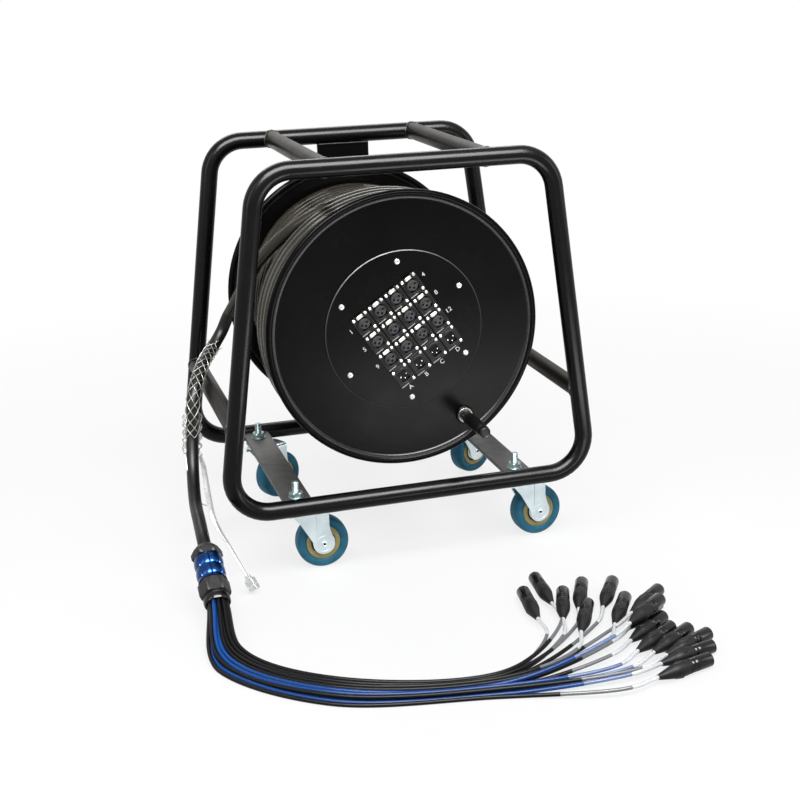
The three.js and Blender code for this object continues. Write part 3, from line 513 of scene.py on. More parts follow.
def surface(
    name, dark, light, rough, patch, grain, depth, strength, metallic=0.0, squeeze=(1, 1, 1),
    specular=0.5, tint=(1, 1, 1), coat=0.0, along=None, wear=None,
):
    """A finish whose colour and roughness drift in patches, with a fine grain in relief.

    along takes the patches lengthwise along a tube, and wear is (colour, amount) of worn spots.
    """
    material, tree, shader = new_material(name)
    vector = coordinates(tree, squeeze)
    drift = lengthwise(tree, along[0]) if along else vector
    patches = noise(tree, drift, along[1] if along else patch, 5.0)
    height = noise(tree, vector, grain, 3.0)
    colour = mixed(tree, ranged(tree, patches, 0.0, 1.0), linear(dark), linear(light))
    if wear:
        colour = worn(tree, noise(tree, vector, patch * 2.3, 8.0, 0.7), colour, *wear)
    if along:
        streak = noise(tree, lengthwise(tree, along[0] * 0.4), along[1] * 4, 2.0)
        height = math_node(tree, "ADD", height, streak)
    roughness = ranged(tree, noise(tree, vector, patch * 3.1, 6.0, 0.65), *rough)
    relief = {"Height": height, "Strength": strength, "Distance": depth * MM}
    normal = add_node(tree, "ShaderNodeBump", relief).outputs["Normal"]
    for socket, source in (("Base Color", colour), ("Roughness", roughness), ("Normal", normal)):
        tree.links.new(source, shader.inputs[socket])
    plain = {"Metallic": metallic, "Specular IOR Level": specular, "Specular Tint": (*tint, 1)}
    if coat:
        plain |= {"Coat Weight": coat, "Coat Roughness": 0.12}
    for socket, value in plain.items():
        shader.inputs[socket].default_value = value
    return material


# Finishes: name, dark and light colour as display shares, range of roughness, scale of the patches and of the
# grain, depth of the relief in mm and its strength, and then what differs from a plain finish
TAIL_RUN = {"along": (2.5, 1.4)}
FINISHES = {
    "paint": ("black_enamel", (0.018, 0.016, 0.017), (0.04, 0.037, 0.036), (0.2, 0.3), 6, 420, 0.12, 0.2,
              {"specular": 0.13, "wear": ((0.13, 0.115, 0.105), 0.22)}),
    "sheet": ("black_sheet_paint", (0.02, 0.019, 0.019), (0.043, 0.04, 0.039), (0.22, 0.3), 5, 650,
              0.08, 0.25, {"specular": 0.05, "wear": ((0.12, 0.11, 0.11), 0.2)}),
    "spacer": ("spacer_paint", (0.06, 0.052, 0.038), (0.12, 0.106, 0.078), (0.28, 0.4), 9, 420, 0.1, 0.25,
               {"specular": 0.055, "tint": (1.0, 0.9, 0.7), "wear": ((0.18, 0.16, 0.12), 0.25)}),
    # rim: lighter than the sheet, partly rubbed paint and partly a painted highlight line along the flange
    # ridges
    "rim": ("rubbed_edge", (0.04, 0.04, 0.04), (0.11, 0.108, 0.105), (0.22, 0.34), 11, 800, 0.06, 0.3,
            {"specular": 0.21}),
    # edge: lighter than the sheet, partly a bare cut edge and partly a painted highlight line round the panel
    "edge": ("sheared_edge", (0.11, 0.108, 0.105), (0.20, 0.196, 0.19), (0.4, 0.55), 14, 900, 0.06, 0.3, {}),
    "bar": ("black_bar_paint", (0.14, 0.132, 0.127), (0.24, 0.23, 0.215), (0.42, 0.6), 16, 700, 0.1, 0.4,
            {"wear": ((0.36, 0.35, 0.33), 0.24)}),
    "weld": ("painted_weld", (0.04, 0.04, 0.045), (0.09, 0.09, 0.095), (0.3, 0.5), 60, 800, 0.3, 0.6, {}),
    "steel": ("turned_steel", (0.50, 0.51, 0.52), (0.66, 0.67, 0.67), (0.22, 0.4), 25, 500, 0.06, 0.4,
              {"metallic": 1.0, "squeeze": (1, 1, 14)}),
    "zinc": ("zinc_plate", (0.74, 0.80, 0.82), (0.86, 0.90, 0.91), (0.26, 0.44), 32, 600, 0.06, 0.4,
             {"metallic": 0.85, "wear": ((0.66, 0.67, 0.62), 0.2)}),
    "stud": ("zinc_thread", (0.36, 0.42, 0.42), (0.62, 0.69, 0.69), (0.3, 0.48), 90, 900, 0.06, 0.4,
             {"metallic": 0.85}),
    "nickel": ("nickel_screw", (0.80, 0.79, 0.77), (0.93, 0.93, 0.92), (0.16, 0.3), 60, 900, 0.04, 0.4,
               {"metallic": 1.0}),
    # dull_nickel: a dull screw's finish, and the painted shade in the screws' cross recesses
    "dull_nickel": ("dull_screw", (0.55, 0.54, 0.52), (0.74, 0.73, 0.71), (0.3, 0.5), 60, 900, 0.04, 0.4,
                    {"metallic": 1.0}),
    # crank_steel: small patches from near-black to bright, partly marks on the steel and partly painted
    # reflections of the nut's facets
    "crank_steel": ("marked_steel", (0.10, 0.097, 0.093), (0.56, 0.55, 0.53), (0.24, 0.4), 190, 900,
                    0.08, 0.6, {"metallic": 1.0}),
    "tab": ("brushed_tab", (0.58, 0.55, 0.53), (0.71, 0.69, 0.655), (0.3, 0.45), 60, 1400, 0.05, 0.4,
            {"metallic": 0.6, "squeeze": (8, 1, 1)}),
    "wire": ("sleeve_wire", (0.50, 0.50, 0.48), (0.70, 0.70, 0.67), (0.35, 0.5), 70, 1500, 0.04, 0.4,
             {"metallic": 0.5}),
    "strap": ("strap_sheath", (0.74, 0.75, 0.74), (0.90, 0.90, 0.89), (0.25, 0.42), 70, 1800, 0.05, 0.4,
              {"metallic": 0.35}),
    "tyre": ("blue_tyre", (0.08, 0.31, 0.40), (0.15, 0.44, 0.54), (0.42, 0.62), 40, 1100, 0.1, 0.5,
             {"specular": 0.2, "wear": ((0.22, 0.38, 0.44), 0.27)}),
    "tan": ("tan_ring", (0.52, 0.47, 0.26), (0.66, 0.60, 0.36), (0.38, 0.55), 50, 900, 0.08, 0.4, {}),
    "wound": ("wound_jacket", (0.03, 0.027, 0.022), (0.2, 0.182, 0.14), (0.18, 0.3), 30, 1500, 0.1, 0.4,
              {"along": (1.2, 1.1), "specular": 0.33, "tint": (1.0, 0.94, 0.82)}),
    "jacket": ("cable_jacket", (0.05, 0.05, 0.053), (0.10, 0.10, 0.102), (0.3, 0.44), 30, 1500, 0.08, 0.4,
               {"along": (1.5, 1.2), "specular": 0.2}),
    "socket": ("socket_shell", (0.05, 0.05, 0.051), (0.08, 0.08, 0.082), (0.34, 0.48), 90, 2200, 0.06, 0.4,
               {"specular": 0.15}),
    "insert": ("socket_insert", (0.17, 0.17, 0.178), (0.235, 0.235, 0.245), (0.45, 0.6), 90, 2000, 0.06, 0.4,
               {"specular": 0.25}),
    # hole: near-black, painted shade in the sockets' holes, gap, groove and well, round the tabs and in the
    # fork rivets' dimples
    "hole": ("contact_hole", (0.01, 0.01, 0.01), (0.03, 0.03, 0.03), (0.7, 0.9), 90, 2000, 0.05, 0.4,
             {"specular": 0.05}),
    "print": ("white_print", (0.84, 0.84, 0.82), (0.95, 0.95, 0.94), (0.5, 0.65), 160, 2500, 0.03, 0.4, {}),
    "line": ("grey_line", (0.60, 0.59, 0.56), (0.74, 0.73, 0.70), (0.5, 0.65), 160, 2500, 0.03, 0.4, {}),
    "rubber": ("grip_rubber", (0.03, 0.03, 0.032), (0.065, 0.065, 0.068), (0.32, 0.48), 45, 1600, 0.1, 0.5,
               {"specular": 0.16}),
    "gland": ("gland_nylon", (0.06, 0.057, 0.058), (0.115, 0.11, 0.112), (0.32, 0.46), 60, 1300, 0.1, 0.45,
              {"specular": 0.22}),
    "blue": ("blue_gloss", (0.01, 0.145, 0.33), (0.03, 0.24, 0.48), (0.16, 0.26), 50, 900, 0.04, 0.4,
             {"metallic": 0.85, "coat": 0.15}),
    "plug": ("plug_body", (0.06, 0.06, 0.062), (0.11, 0.11, 0.112), (0.4, 0.55), 70, 2200, 0.1, 0.5,
             {"specular": 0.135}),
    "barrel": ("plug_barrel", (0.03, 0.03, 0.033), (0.06, 0.06, 0.064), (0.14, 0.24), 50, 1500, 0.04, 0.4,
               {"specular": 0.25}),
    "black_tail": ("black_tail_jacket", (0.035, 0.035, 0.04), (0.075, 0.075, 0.082), (0.3, 0.44), 60, 2500,
                   0.08, 0.5, TAIL_RUN | {"specular": 0.1}),
    "blue_tail": ("blue_tail_jacket", (0.02, 0.20, 0.46), (0.05, 0.31, 0.61), (0.3, 0.44), 60, 2500,
                  0.08, 0.5, TAIL_RUN | {"specular": 0.16}),
    "pale_blue_tail": ("pale_blue_tail_jacket", (0.31, 0.41, 0.60), (0.43, 0.53, 0.72), (0.36, 0.5), 60, 2500,
                       0.06, 0.4, TAIL_RUN),
    "grey_tail": ("grey_tail_jacket", (0.36, 0.37, 0.38), (0.47, 0.48, 0.49), (0.36, 0.5), 60, 2500,
                  0.06, 0.4, TAIL_RUN),
    "white_sleeve": ("white_sleeve", (0.82, 0.83, 0.84), (0.92, 0.93, 0.93), (0.36, 0.5), 60, 2500, 0.06, 0.4,
                     TAIL_RUN),
}
MATERIALS = {key: surface(*row[:-1], **row[-1]) for key, row in FINISHES.items()}


def place(points):
    """Reel millimetres as metres of the frame."""
    return (np.array([tuple(p) for p in points], float).reshape(-1, 3) + (0, REEL_Y, 0)) * MM


def add_uvs(work, around):
    """Round and along a tube; faces that cross the seam go on past 1."""
    layer = work.loops.layers.uv.new("UVMap")
    for face in work.faces:
        uvs = [around.get(v.index, (0.0, 0.0)) for v in face.verts]
        wraps = max(u for u, _ in uvs) - min(u for u, _ in uvs) > 0.5
        for loop, (u, v) in zip(face.loops, uvs):
            loop[layer].uv = (u + 1.0 if wraps and u < 0.5 else u, v)


def finish_mesh(mesh, around, sharp):
    """Outward normals and smooth faces, with sharp edges above an angle in degrees."""
    work = bmesh.new()
    work.from_mesh(mesh)
    work.verts.ensure_lookup_table()
    if around:
        add_uvs(work, around)
    bmesh.ops.recalc_face_normals(work, faces=work.faces)
    for face in work.faces:
        face.smooth = True
    for edge in work.edges:
        edge.smooth = len(edge.link_faces) == 2 and edge.calc_face_angle(0.0) < math.radians(sharp)
    work.to_mesh(mesh)
    work.free()


def piece(name, shape, body, materials, replaces=(), sharp=38.0):
    """A mesh of that shape, on that body. Its marks choose among the materials."""
    mesh = bpy.data.meshes.new(name)
    mesh.from_pydata([tuple(p) for p in place(shape.points)], [], shape.faces)
    for key in [materials] if isinstance(materials, str) else materials:
        mesh.materials.append(MATERIALS[key])
    mesh.polygons.foreach_set("material_index", shape.marks)
    finish_mesh(mesh, shape.around, sharp)
    made = linked(bpy.data.objects.new(name, mesh))
    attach(made, body)
    if replaces:
        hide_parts(replaces)
    return made


# Winding and free cable
def winding_point(turn):
    """A point of the winding about the axle, by turns from its hidden start at the rear."""
    angle = EXIT_ANGLE + TURN * (turn - END_TURN)
    climb = min(max(turn - INNER_TURNS + 1, 0.0), 1.0) ** CLIMB_POWER
    sag = climb * SAG * (1 + math.cos(angle - SAG_ANGLE)) / 2
    crossing = max(turn - (END_TURN - CROSSING_TURNS), 0.0) / CROSSING_TURNS
    x, z = polar(WINDING_RADIUS + climb * LAYER_STEP + sag, angle)
    run = max(turn - INNER_TURNS, 0.0) - min(turn, INNER_TURNS)
    return Vector((x, REAR_LOOP_Y + run * PITCH + CROSSING_REACH * crossing**CROSSING_POWER, z))


def exit_line():
    """Where the cable leaves the drum: its start, direction and end, about the axle."""
    start = winding_point(END_TURN)
    direction = Vector((-math.sin(EXIT_ANGLE), EXIT_SLOPE, math.cos(EXIT_ANGLE))).normalized()
    clear = SWEPT_RADIUS + CABLE_RADIUS + JOINT_GAP
    flat = math.sqrt(clear**2 - start.x**2 - start.z**2)
    return start, direction, start + direction * flat * math.sqrt(1 + EXIT_SLOPE**2)


def winding_line(per_turn=84):
    count = math.ceil(END_TURN * per_turn)
    line = [winding_point(max(END_TURN - (count - i) / per_turn, 0.0)) for i in range(count + 1)]
    start, _, end = exit_line()
    line += [start.lerp(end, share) for share in (0.2, 0.4, 0.6, 0.8, 1.0)]
    return [p + AXIS_Z * Z_AXIS for p in line]


def cable_line():
    _, direction, end = exit_line()
    first = end + direction * JOINT_GAP + AXIS_Z * Z_AXIS
    last = GLAND_TOP - GLAND_AXIS * JOINT_GAP
    near, far = first + direction * CABLE_RADIUS, last - GLAND_AXIS * CABLE_RADIUS
    return smooth_line([first, near, *CABLE_ROUTE, far, last], 16)


def add_cables():
    wound = swept(winding_line(), CABLE_RADIUS)
    piece("wound_cable_turns", wound, "drum", "wound", "wound_cable", sharp=60)
    line = spaced(cable_line(), 7.0)
    jacket = swept(line, CABLE_RADIUS, 20)
    cable = piece("free_cable_jacket", jacket, "frame", "jacket", "free_cable", sharp=60)
    carried = [*add_gland(), add_grip()]


# Gland on the cable's end: a domed nut, a ribbed blue body and an outlet nut with a separate ring. Profiles
# are (radius, distance), from the gland's top for the dome and from its foot for the outlet and its ring
GLAND_DOME = [
    (GLAND_BORE, -0.2), (11.5, -0.6), (13.2, 0.4), (14.6, 2.2), (16.0, 4.6), (18.0, 6.6), (19.4, 8.2),
    (GLAND_RADIUS, 9.4),
]
GLAND_OUTLET = [
    (GLAND_RADIUS, -17), (19.8, -14.4), (17.4, -13.2), (16.2, -12.6), (16.1, -11.2), (15.4, -11.2),
    (15.4, -3), (GLAND_BORE, -3),
]
GLAND_RING = [
    (15.5, -11.4), (17.2, -10.6), (17.7, -9), (17.8, -4.6), (17.5, -2.2), (16.9, -0.9), (16.3, -0.5),
    (15.8, -0.9), (15.6, -2.4),
]
GLAND_BODY_RADIUS = 17.9
GLAND_BULGE = 1.55
GLAND_GROOVES = 8
GROOVE_DEPTH = 1.1
GROOVE_SHARE = 0.13


def gland_body(steps=48):
    """Two smooth bulges, with grooves cut along them."""
    from_y, to_y = UPPER_NUT_END + JOINT_GAP, LOWER_NUT_START - JOINT_GAP
    profile = [(GLAND_BORE, from_y)]
    for share in np.linspace(0, 1, steps + 1):
        bulge = abs(math.sin(2.3 * math.pi * share)) ** 0.45
        profile.append((GLAND_BODY_RADIUS + GLAND_BULGE * bulge, from_y + share * (to_y - from_y)))
    profile.append((GLAND_BORE, to_y))

    def grooved(radius, y, angle):
        if radius < GLAND_BODY_RADIUS:
            return radius
        phase = abs((angle / (TURN / GLAND_GROOVES) + 0.5) % 1.0 - 0.5) * 2
        return radius - GROOVE_DEPTH * max(0.0, 1 - phase / GROOVE_SHARE) ** 0.5

    return turned(profile, 192, grooved)


def add_gland():
    flats = six_flats(GLAND_RADIUS * math.cos(math.pi / 6))
    upper_edge = [(GLAND_RADIUS, -1.2), (19.2, 0), (GLAND_BORE, 0)]
    lower_edge = [(GLAND_BORE, 0), (17.5, 0), (19, 0.6), (GLAND_RADIUS, 2.4)]
    upper = turned([*GLAND_DOME, *raised(upper_edge, UPPER_NUT_END)], 72, flats)
    lower = turned([*raised(lower_edge, LOWER_NUT_START), *raised(GLAND_OUTLET, GLAND_LENGTH)], 72, flats)
    ring = turned(raised(GLAND_RING, GLAND_LENGTH))
    return [
        piece(f"{name}_form", aimed(shape, GLAND_TOP, GLAND_AXIS), "frame", finishes, name, sharp=30)
        for name, shape, finishes, slot in (
            ("gland_nut_upper", upper, "gland", "gland_black"),
            ("gland_body", gland_body(), "blue", "gland_blue"),
            ("gland_nut_lower", layered(lower, ring), ["gland", "barrel"], "gland_black"),
        )
    ]


def woven_wire(frames, far, hand, start):
    """A wire's line round the cable, left or right handed, over and under the wires of the other hand."""
    line = []
    for (point, a, b, _), reached in zip(frames, far):
        turns = GRIP_TURNS * (reached / far[-1]) ** 0.93
        weave = math.cos(TURN * turns * GRIP_WIRES + (0 if hand > 0 else math.pi))
        along_a, along_b = polar(GRIP_RADIUS + WEAVE * weave, hand * TURN * turns + start)
        line.append(point + along_a * a + along_b * b)
    return line


def add_grip():
    """Woven wire sleeve on the cable, with frayed wires above and curled strands below."""
    frames = frames_along(stretch(cable_line(), SLEEVE_FROM, SLEEVE_TO, 2.0), Y_AXIS)
    draw = random.Random(5)
    wires = []
    woven = frames[:round(WOVEN_SHARE * len(frames))]
    far = lengths([point for point, *_ in woven])
    for hand in (-1, 1):
        for k in range(GRIP_WIRES):
            line = woven_wire(woven, far, hand, TURN * k / GRIP_WIRES)
            wires += [swept(line, WIRE_RADIUS, 6), fray(line[0], frames[0], draw)]
    curled = frames[round(CURLS_FROM * len(frames)):]
    for side in (0, math.pi):
        wires += [curly(curled, side + 0.12 * strand, 2.1 * strand, draw) for strand in range(3)]
    return piece("cable_grip_wires", joined(wires), "frame", "wire", "cable_grip", sharp=60)


def fray(root, end_frame, draw):
    """The free end of a wire, which stands out from the sleeve's upper end."""
    centre, _, _, along = end_frame
    outward = (root - centre).normalized()
    reach, lean = draw.uniform(3, 8), draw.uniform(1.0, 3.5)
    across = along.cross(outward) * draw.uniform(-3, 3)
    bend = [root - along * reach * t + outward * lean * t * t + across * t for t in np.linspace(0, 1, 8)]
    return swept(bend, FRAY_RADIUS, 5)


def curly(frames, angle, phase, draw):
    """A curled strand that runs down beside the cable from the sleeve's lower end."""
    line, wave = [], draw.uniform(10.0, 15.0)
    for i, (point, a, b, _) in enumerate(frames):
        swing = TURN * 2.0 * i / wave + phase
        along_a, along_b = polar(12.6 + 2.3 * math.cos(swing), angle + 0.2 * math.sin(swing))
        line.append(point + along_a * a + along_b * b)
    return swept(smooth_line(line, 3), CURL_RADIUS, 5)


# Pull strap of the grip: two legs that run together into a crimped end
CRIMP = [
    (0, -4), (2.6, -4), (3.0, -3.2), (3.6, 0.6), (5.4, 2.2), (6.0, 3.2), (6.0, 10.0), (5.6, 10.6),
    (5.6, 11.4), (6.0, 12.0), (6.0, 17.5), (5.2, 18.6), (0, 18.6),
]


def band(line, half_widths, thick):
    """A flat strap along a line, level across. thick is half of its thickness."""
    points = []
    for (centre, side, other, _), edge in zip(frames_along(line, Z_AXIS, fixed=True), half_widths):
        upper = [(edge, 0.35 * thick), (edge - 0.4, thick), (0.4 - edge, thick), (-edge, 0.35 * thick)]
        section = upper + [(-a, -b) for a, b in upper]
        points += [centre + a * side + b * other for a, b in section]
    return Shape(points, walls(8, len(line)) + ends(8, len(line)))


def boxed(radius, y, angle):
    """A sweep that makes a turned profile nearly square."""
    across, up = abs(math.cos(angle)), abs(math.sin(angle))
    return radius * min(1 / max(across, up), 1.22) * (1.1 if across > 0.7 else 0.86)


def strap_leg(root, along, beside, front, end):
    """The line of the second leg, from the cable's other side to where it meets the first."""
    out = CABLE_RADIUS + 1.3
    return smooth_line([
        root - beside * out, root + along * 34 + (front * 0.8 - beside * 0.6) * out,
        root + along * 66 + (front * 0.9 + beside * 0.44) * (out + 0.6), end,
    ], 10)


def add_strap():
    end = stretch(cable_line(), SLEEVE_TO - 0.005, SLEEVE_TO, 1.0)
    root, along = end[-1], (end[-1] - end[0]).normalized()
    beside = (X_AXIS - along.x * along).normalized()
    front = (along.y * along - Y_AXIS).normalized()
    start = root + along * 1.9 + beside * (CABLE_RADIUS + 2.2)
    line = spaced(smooth_line([start, *STRAP_ROUTE], 16), 3.0)
    count = len(line)
    wide = [2.5 + 1.5 * math.sin(math.pi * min(1.0, 1.25 * i / count)) for i in range(count)]
    shape = band(line, wide, STRAP_THICK)
    strap = piece("grip_strap_wire", shape, "frame", "strap", "grip_strap", sharp=60)
    second = strap_leg(root, along, beside, front, line[count // 2])
    shape = band(second, [LEG_HALF_WIDTH] * len(second), LEG_THICK)
    leg = piece("grip_strap_leg", shape, "frame", "strap", (), sharp=60)
    crimp = aimed(turned(CRIMP, 40, boxed), line[-1], line[-1] - line[-3])
    ferrule = piece("grip_strap_ferrule", crimp, "frame", "strap", (), sharp=40)


# Sixteen tails with their plugs: a ribbed tapered boot, a body with a thumb pad, a ring and a glossy barrel.
# Profiles are (radius, distance from the boot's end)
RIBS = 5
RIB_PITCH = 4.2
RIB_WIDENING = 0.92
PLUG_BODY = [
    (8.5, 24), (9.15, 28), (9.4, 32), (9.4, 42.4), (9.15, 44.4), (8.75, 44.8), (8.75, 45.5), (9.1, 45.8),
    (9.1, 48.2), (8.75, 48.6), (0, 48.6),
]
PLUG_BARREL = [
    (0, 48.8), (8.6, 48.8), (8.9, 49.3), (8.9, 53.2), (8.65, 53.5), (8.65, 54), (8.9, 54.4), (9.0, 60),
    (9.0, 79), (8.8, 79.8), (8.4, 80), (8.0, 79.4), (8.0, 64), (0, 64),
]
PLUG_PIN = [(0, 63), (1.2, 63), (1.2, 74.6), (0.8, 75.6), (0, 75.9)]
PIN_PLACES = [(4.6, 0), (-4.6, 0), (0, -4.6)]
THUMB_PAD = [
    (0, -8.6), (1.1, -7.6), (4.6, -0.9), (4.6, 0.9), (1.1, 7.6), (0, 8.6), (-1.1, 7.6), (-4.6, 0.9),
    (-4.6, -0.9), (-1.1, -7.6),
]
PAD_AT = 33.5


def lane_place(tail):
    """A tail's place across the bundle and its height: two layers, the upper between the lower."""
    lower = tail % 2 == 0 or tail == len(PLUGS) - 1
    lane = math.ceil(tail / 2) if lower else tail / 2
    return (lane - MIDDLE_LANE) * LANE_PITCH, LANE_Z + (0 if lower else LANE_RISE)


def plug_pose(tail):
    x, y, degrees = PLUGS[tail]
    direction = Vector((*polar(1, math.radians(degrees)), 0))
    front = Vector((x, y, PLUG_REST_Z + (RAISED_BY if tail == RAISED_PLUG else 0)))
    return front - direction * PLUG_LENGTH, direction


def tail_line(tail):
    radius, degrees = THROAT[tail]
    x, z = polar(radius, math.radians(degrees))
    seat = Y_AXIS.rotation_difference(GLAND_AXIS) @ Vector((x, 0, -z)) + GLAND_TOP
    seat += GLAND_AXIS * (GLAND_LENGTH - SEAT_DEPTH)
    across, z = lane_place(tail)
    route = [
        Vector((p.x + across * heading.y, p.y - across * heading.x, z))
        for p, heading in zip(BUNDLE_ROUTE, tangents(BUNDLE_ROUTE))
    ]
    boot, direction = plug_pose(tail)
    line = smooth_line([seat, *route, boot - direction * LEAD_IN, boot + direction * 2], 24)
    return [Vector((p.x, p.y, max(p.z, TAIL_RADIUS + 0.2))) for p in line]


def add_tail(tail):
    """A jacket, its unsheathed grey or pale blue length and a white sleeve at the plug."""
    line = spaced(tail_line(tail), 6.0)
    far = lengths(line)
    draw = random.Random(40 + tail)
    white_from = far[-1] - draw.uniform(*WHITE_LENGTH)
    grey_from = white_from - draw.uniform(*UNSHEATHED_LENGTH)
    parts = [(s >= grey_from) + (s >= white_from) for s in far]
    shape = swept(line, [TAIL_RADII[part] for part in parts], 12)
    shape.marks = [part for part in parts[1:] for _ in range(12)] + [0, 2]
    colours = ["blue_tail", "pale_blue_tail"] if tail in BLUE_TAILS else ["black_tail", "grey_tail"]
    replaced = "fan_out_tails" if tail == 0 else ()
    name = f"tail_{tail + 1}"
    cord = piece(name, shape, "frame", [*colours, "white_sleeve"], replaced, sharp=60)
    add_plug(tail)


def add_plug(tail):
    boot = [(0, 0.0), (3.0, 0.0), (3.4, 0.6)]
    for i in range(RIBS):
        at, wide = 1.4 + RIB_PITCH * i, 3.5 + RIB_WIDENING * i
        boot += [(wide, at), (wide + 0.78, at + 3.3), (wide + 0.52, at + 3.6), (wide + 0.62, at + 4.0)]
    body = turned([*boot, *PLUG_BODY], 32)
    pad = upright(slab(THUMB_PAD, -9.5, -7.6, 0.5))
    for half_turn in (0, math.pi):
        body.add(pad.moved(Matrix.Translation((0, PAD_AT, 0)) @ Matrix.Rotation(half_turn, 4, "Y")))
    pins = [turned(PLUG_PIN, 12).shifted(x, 0, z) for x, z in PIN_PLACES]
    whole = layered(body, turned(PLUG_BARREL, 40), pins)
    spin = Matrix.Rotation(math.radians(random.Random(70 + tail).uniform(-25, 25)), 4, "Y")
    plug = aimed(whole.moved(spin), *plug_pose(tail))
    finishes = ["plug", "barrel", "nickel"]
    return piece(f"tail_plug_{tail + 1}", plug, "frame", finishes, (), sharp=35)


add_cables()
for tail_number in range(len(PLUGS)):
    add_tail(tail_number)
add_strap()


# Tube frame
def hoop_line(steps=12):
    """The hoop's outline in X and Z, with round bends."""
    base, top = (HOOP_BOTTOM_HALF, HOOP_BASE_Z), (HOOP_TOP_HALF, HOOP_TOP_Z)
    corners = [Vector(p) for p in (base, top, (-top[0], top[1]), (-base[0], base[1]))]
    line = []
    for before, here, after in zip([corners[-1], *corners], corners, [*corners[1:], corners[0]]):
        a, b = (before - here).normalized(), (after - here).normalized()
        half, middle = math.acos(a.dot(b)) / 2, (a + b).normalized()
        centre = here + middle * BEND_RADIUS / math.sin(half)
        outward, sweep = math.atan2(-middle.y, -middle.x), math.pi - 2 * half
        for share in np.linspace(0, 1, steps + 1):
            line.append(centre + Vector(polar(BEND_RADIUS, outward + sweep * (share - 0.5))))
    return line


def filled_line(line, step=24.0):
    """More points on the straight runs of a closed line."""
    found = []
    for a, b in zip(line, line[1:] + line[:1]):
        parts = max(1, round((b - a).length / step))
        found += [a.lerp(b, i / parts) for i in range(parts)]
    return found


def bead(points, radius=1.0, closed=True):
    """A weld seam: a thin rippled tube along a line."""
    line = [Vector(p) for p in points]
    return swept(line, [radius * (1 + 0.18 * math.sin(2.4 * s)) for s in lengths(line)], 8, closed)


def straight_bead(x, y, z, half_width, count, radius):
    return bead([(x + u, y, z) for u in np.linspace(-half_width, half_width, count)], radius, False)


def saddle(x, z, run, end, count=48):
    """The seam where a spacer's end meets a hoop whose tube runs along a direction of X and Z."""
    points = []
    for i in range(count):
        a, b = polar(TUBE_RADIUS + 0.5, TURN * i / count)
        y = min(HOOP_Y - math.sqrt(max(TUBE_RADIUS**2 - b * b, 0.0)) - 0.2, HOOP_Y - 2.5)
        points.append((x + a * run.x - b * run.y, end * y, z + a * run.y + b * run.x))
    return bead(points)


def add_spacer(name, x, z, along):
    tube = swept([(x, y, z) for y in np.linspace(-HOOP_Y + 4, HOOP_Y - 4, 15)], TUBE_RADIUS, 32)
    seams = [saddle(x, z, Vector(along).normalized(), end) for end in (-1, 1)]
    piece(f"{name}_tube", layered(tube, seams), "frame", ["spacer", "weld"], name, sharp=60)


def add_bar(x, name):
    top = CASTER_HEIGHT + BAR_THICKNESS
    hoop_edge = HOOP_Y - TUBE_RADIUS
    outline = rounded(BAR_WIDTH, BAR_THICKNESS, 0.8, x, top - BAR_THICKNESS / 2, 3)
    flat = extruded(outline, np.linspace(-hoop_edge - 1.2, hoop_edge + 1.2, 12))
    seams = [
        straight_bead(x, end * (hoop_edge - 0.1), z, 19, 40, 1.3)
        for end in (-1, 1) for z in (top + 0.3, CASTER_HEIGHT - 0.3)
    ]
    piece(f"{name}_flat", layered(flat, seams), "frame", ["bar", "weld"], name, sharp=40)


def add_support_plate():
    low, high = HOOP_BASE_Z + TUBE_RADIUS - 1.0, HOOP_TOP_Z - TUBE_RADIUS + 1.0
    half = PLATE_THICKNESS / 2
    outline = rounded(PLATE_WIDTH, high - low, 1.2, 0, (low + high) / 2)
    plate = slab(outline, HOOP_Y - half, HOOP_Y + half, 0.6)
    seams = [
        straight_bead(0, y, z, 39, 60, 1.4)
        for z in (low + 0.9, high - 0.9) for y in (HOOP_Y - half - 0.4, HOOP_Y + half + 0.4)
    ]
    whole = layered(plate, seams)
    piece("support_plate_flat", whole, "frame", ["sheet", "weld"], "support_plate", sharp=40)


def add_frame():
    line = filled_line(hoop_line())
    for name, y in (("front_hoop", -HOOP_Y), ("rear_hoop", HOOP_Y)):
        tube = swept([(p.x, y, p.y) for p in line], TUBE_RADIUS, 32, True, Y_AXIS)
        piece(f"{name}_tube", tube, "frame", "paint", name, sharp=60)
    narrowing, rise = HOOP_BOTTOM_HALF - HOOP_TOP_HALF, HOOP_TOP_Z - HOOP_BASE_Z
    low_x = HOOP_BOTTOM_HALF - narrowing * SIDE_SPACER_RISE / rise
    low_z = HOOP_BASE_Z + SIDE_SPACER_RISE
    for side, name in ((-1, "left"), (1, "right")):
        add_spacer(f"top_spacer_{name}", side * TOP_SPACER_X, HOOP_TOP_Z, (1, 0))
        add_spacer(f"side_spacer_{name}", side * low_x, low_z, (-side * narrowing, rise))
        add_bar(side * CASTER_X, f"caster_bar_{name}")
    add_support_plate()


add_frame()


# Casters: profiles are (radius, height), from the race's top, the bar's top or the fork's crown
RACE = [(0, -5.7), (17.5, -5.7), (19.2, -5.2), (20, -3.8), (20, -1.9), (19.4, -0.5), (18.2, 0), (0, 0)]
KINGPIN = [(0, 82.6), (5.2, 82.6), (6.6, 83.2), (7, 84.6), (7, 86.3), (4, 86.4), (4, 96.2), (0, 96.2)]
STEM_RADIUS = 5
STEM_END_Z = 130.3
THREAD_PITCH = 1.5
THREAD_DEPTH = 0.55
THREAD_END = 1.1
NUT_ACROSS = 17
NUT_FOOT = 1.45
NUT_TOP = 8.3
NUT_BORE = 4.6
RACE_GAP = 0.3
AXLE_RADIUS = 4
WASHER = [(4, 0.05), (10.6, 0.05), (10.9, 0.4), (10.9, 1.1), (10.6, 1.4), (4, 1.4)]
FORK_CUP = [(4.3, -0.5), (16, -0.5), (16, 2.2), (15.2, 3.8), (13.8, 4.3), (4.3, 4.3)]
RIVET_DIMPLE = [(0, 0.5), (1.9, 0.5), (2.0, 1.0)]
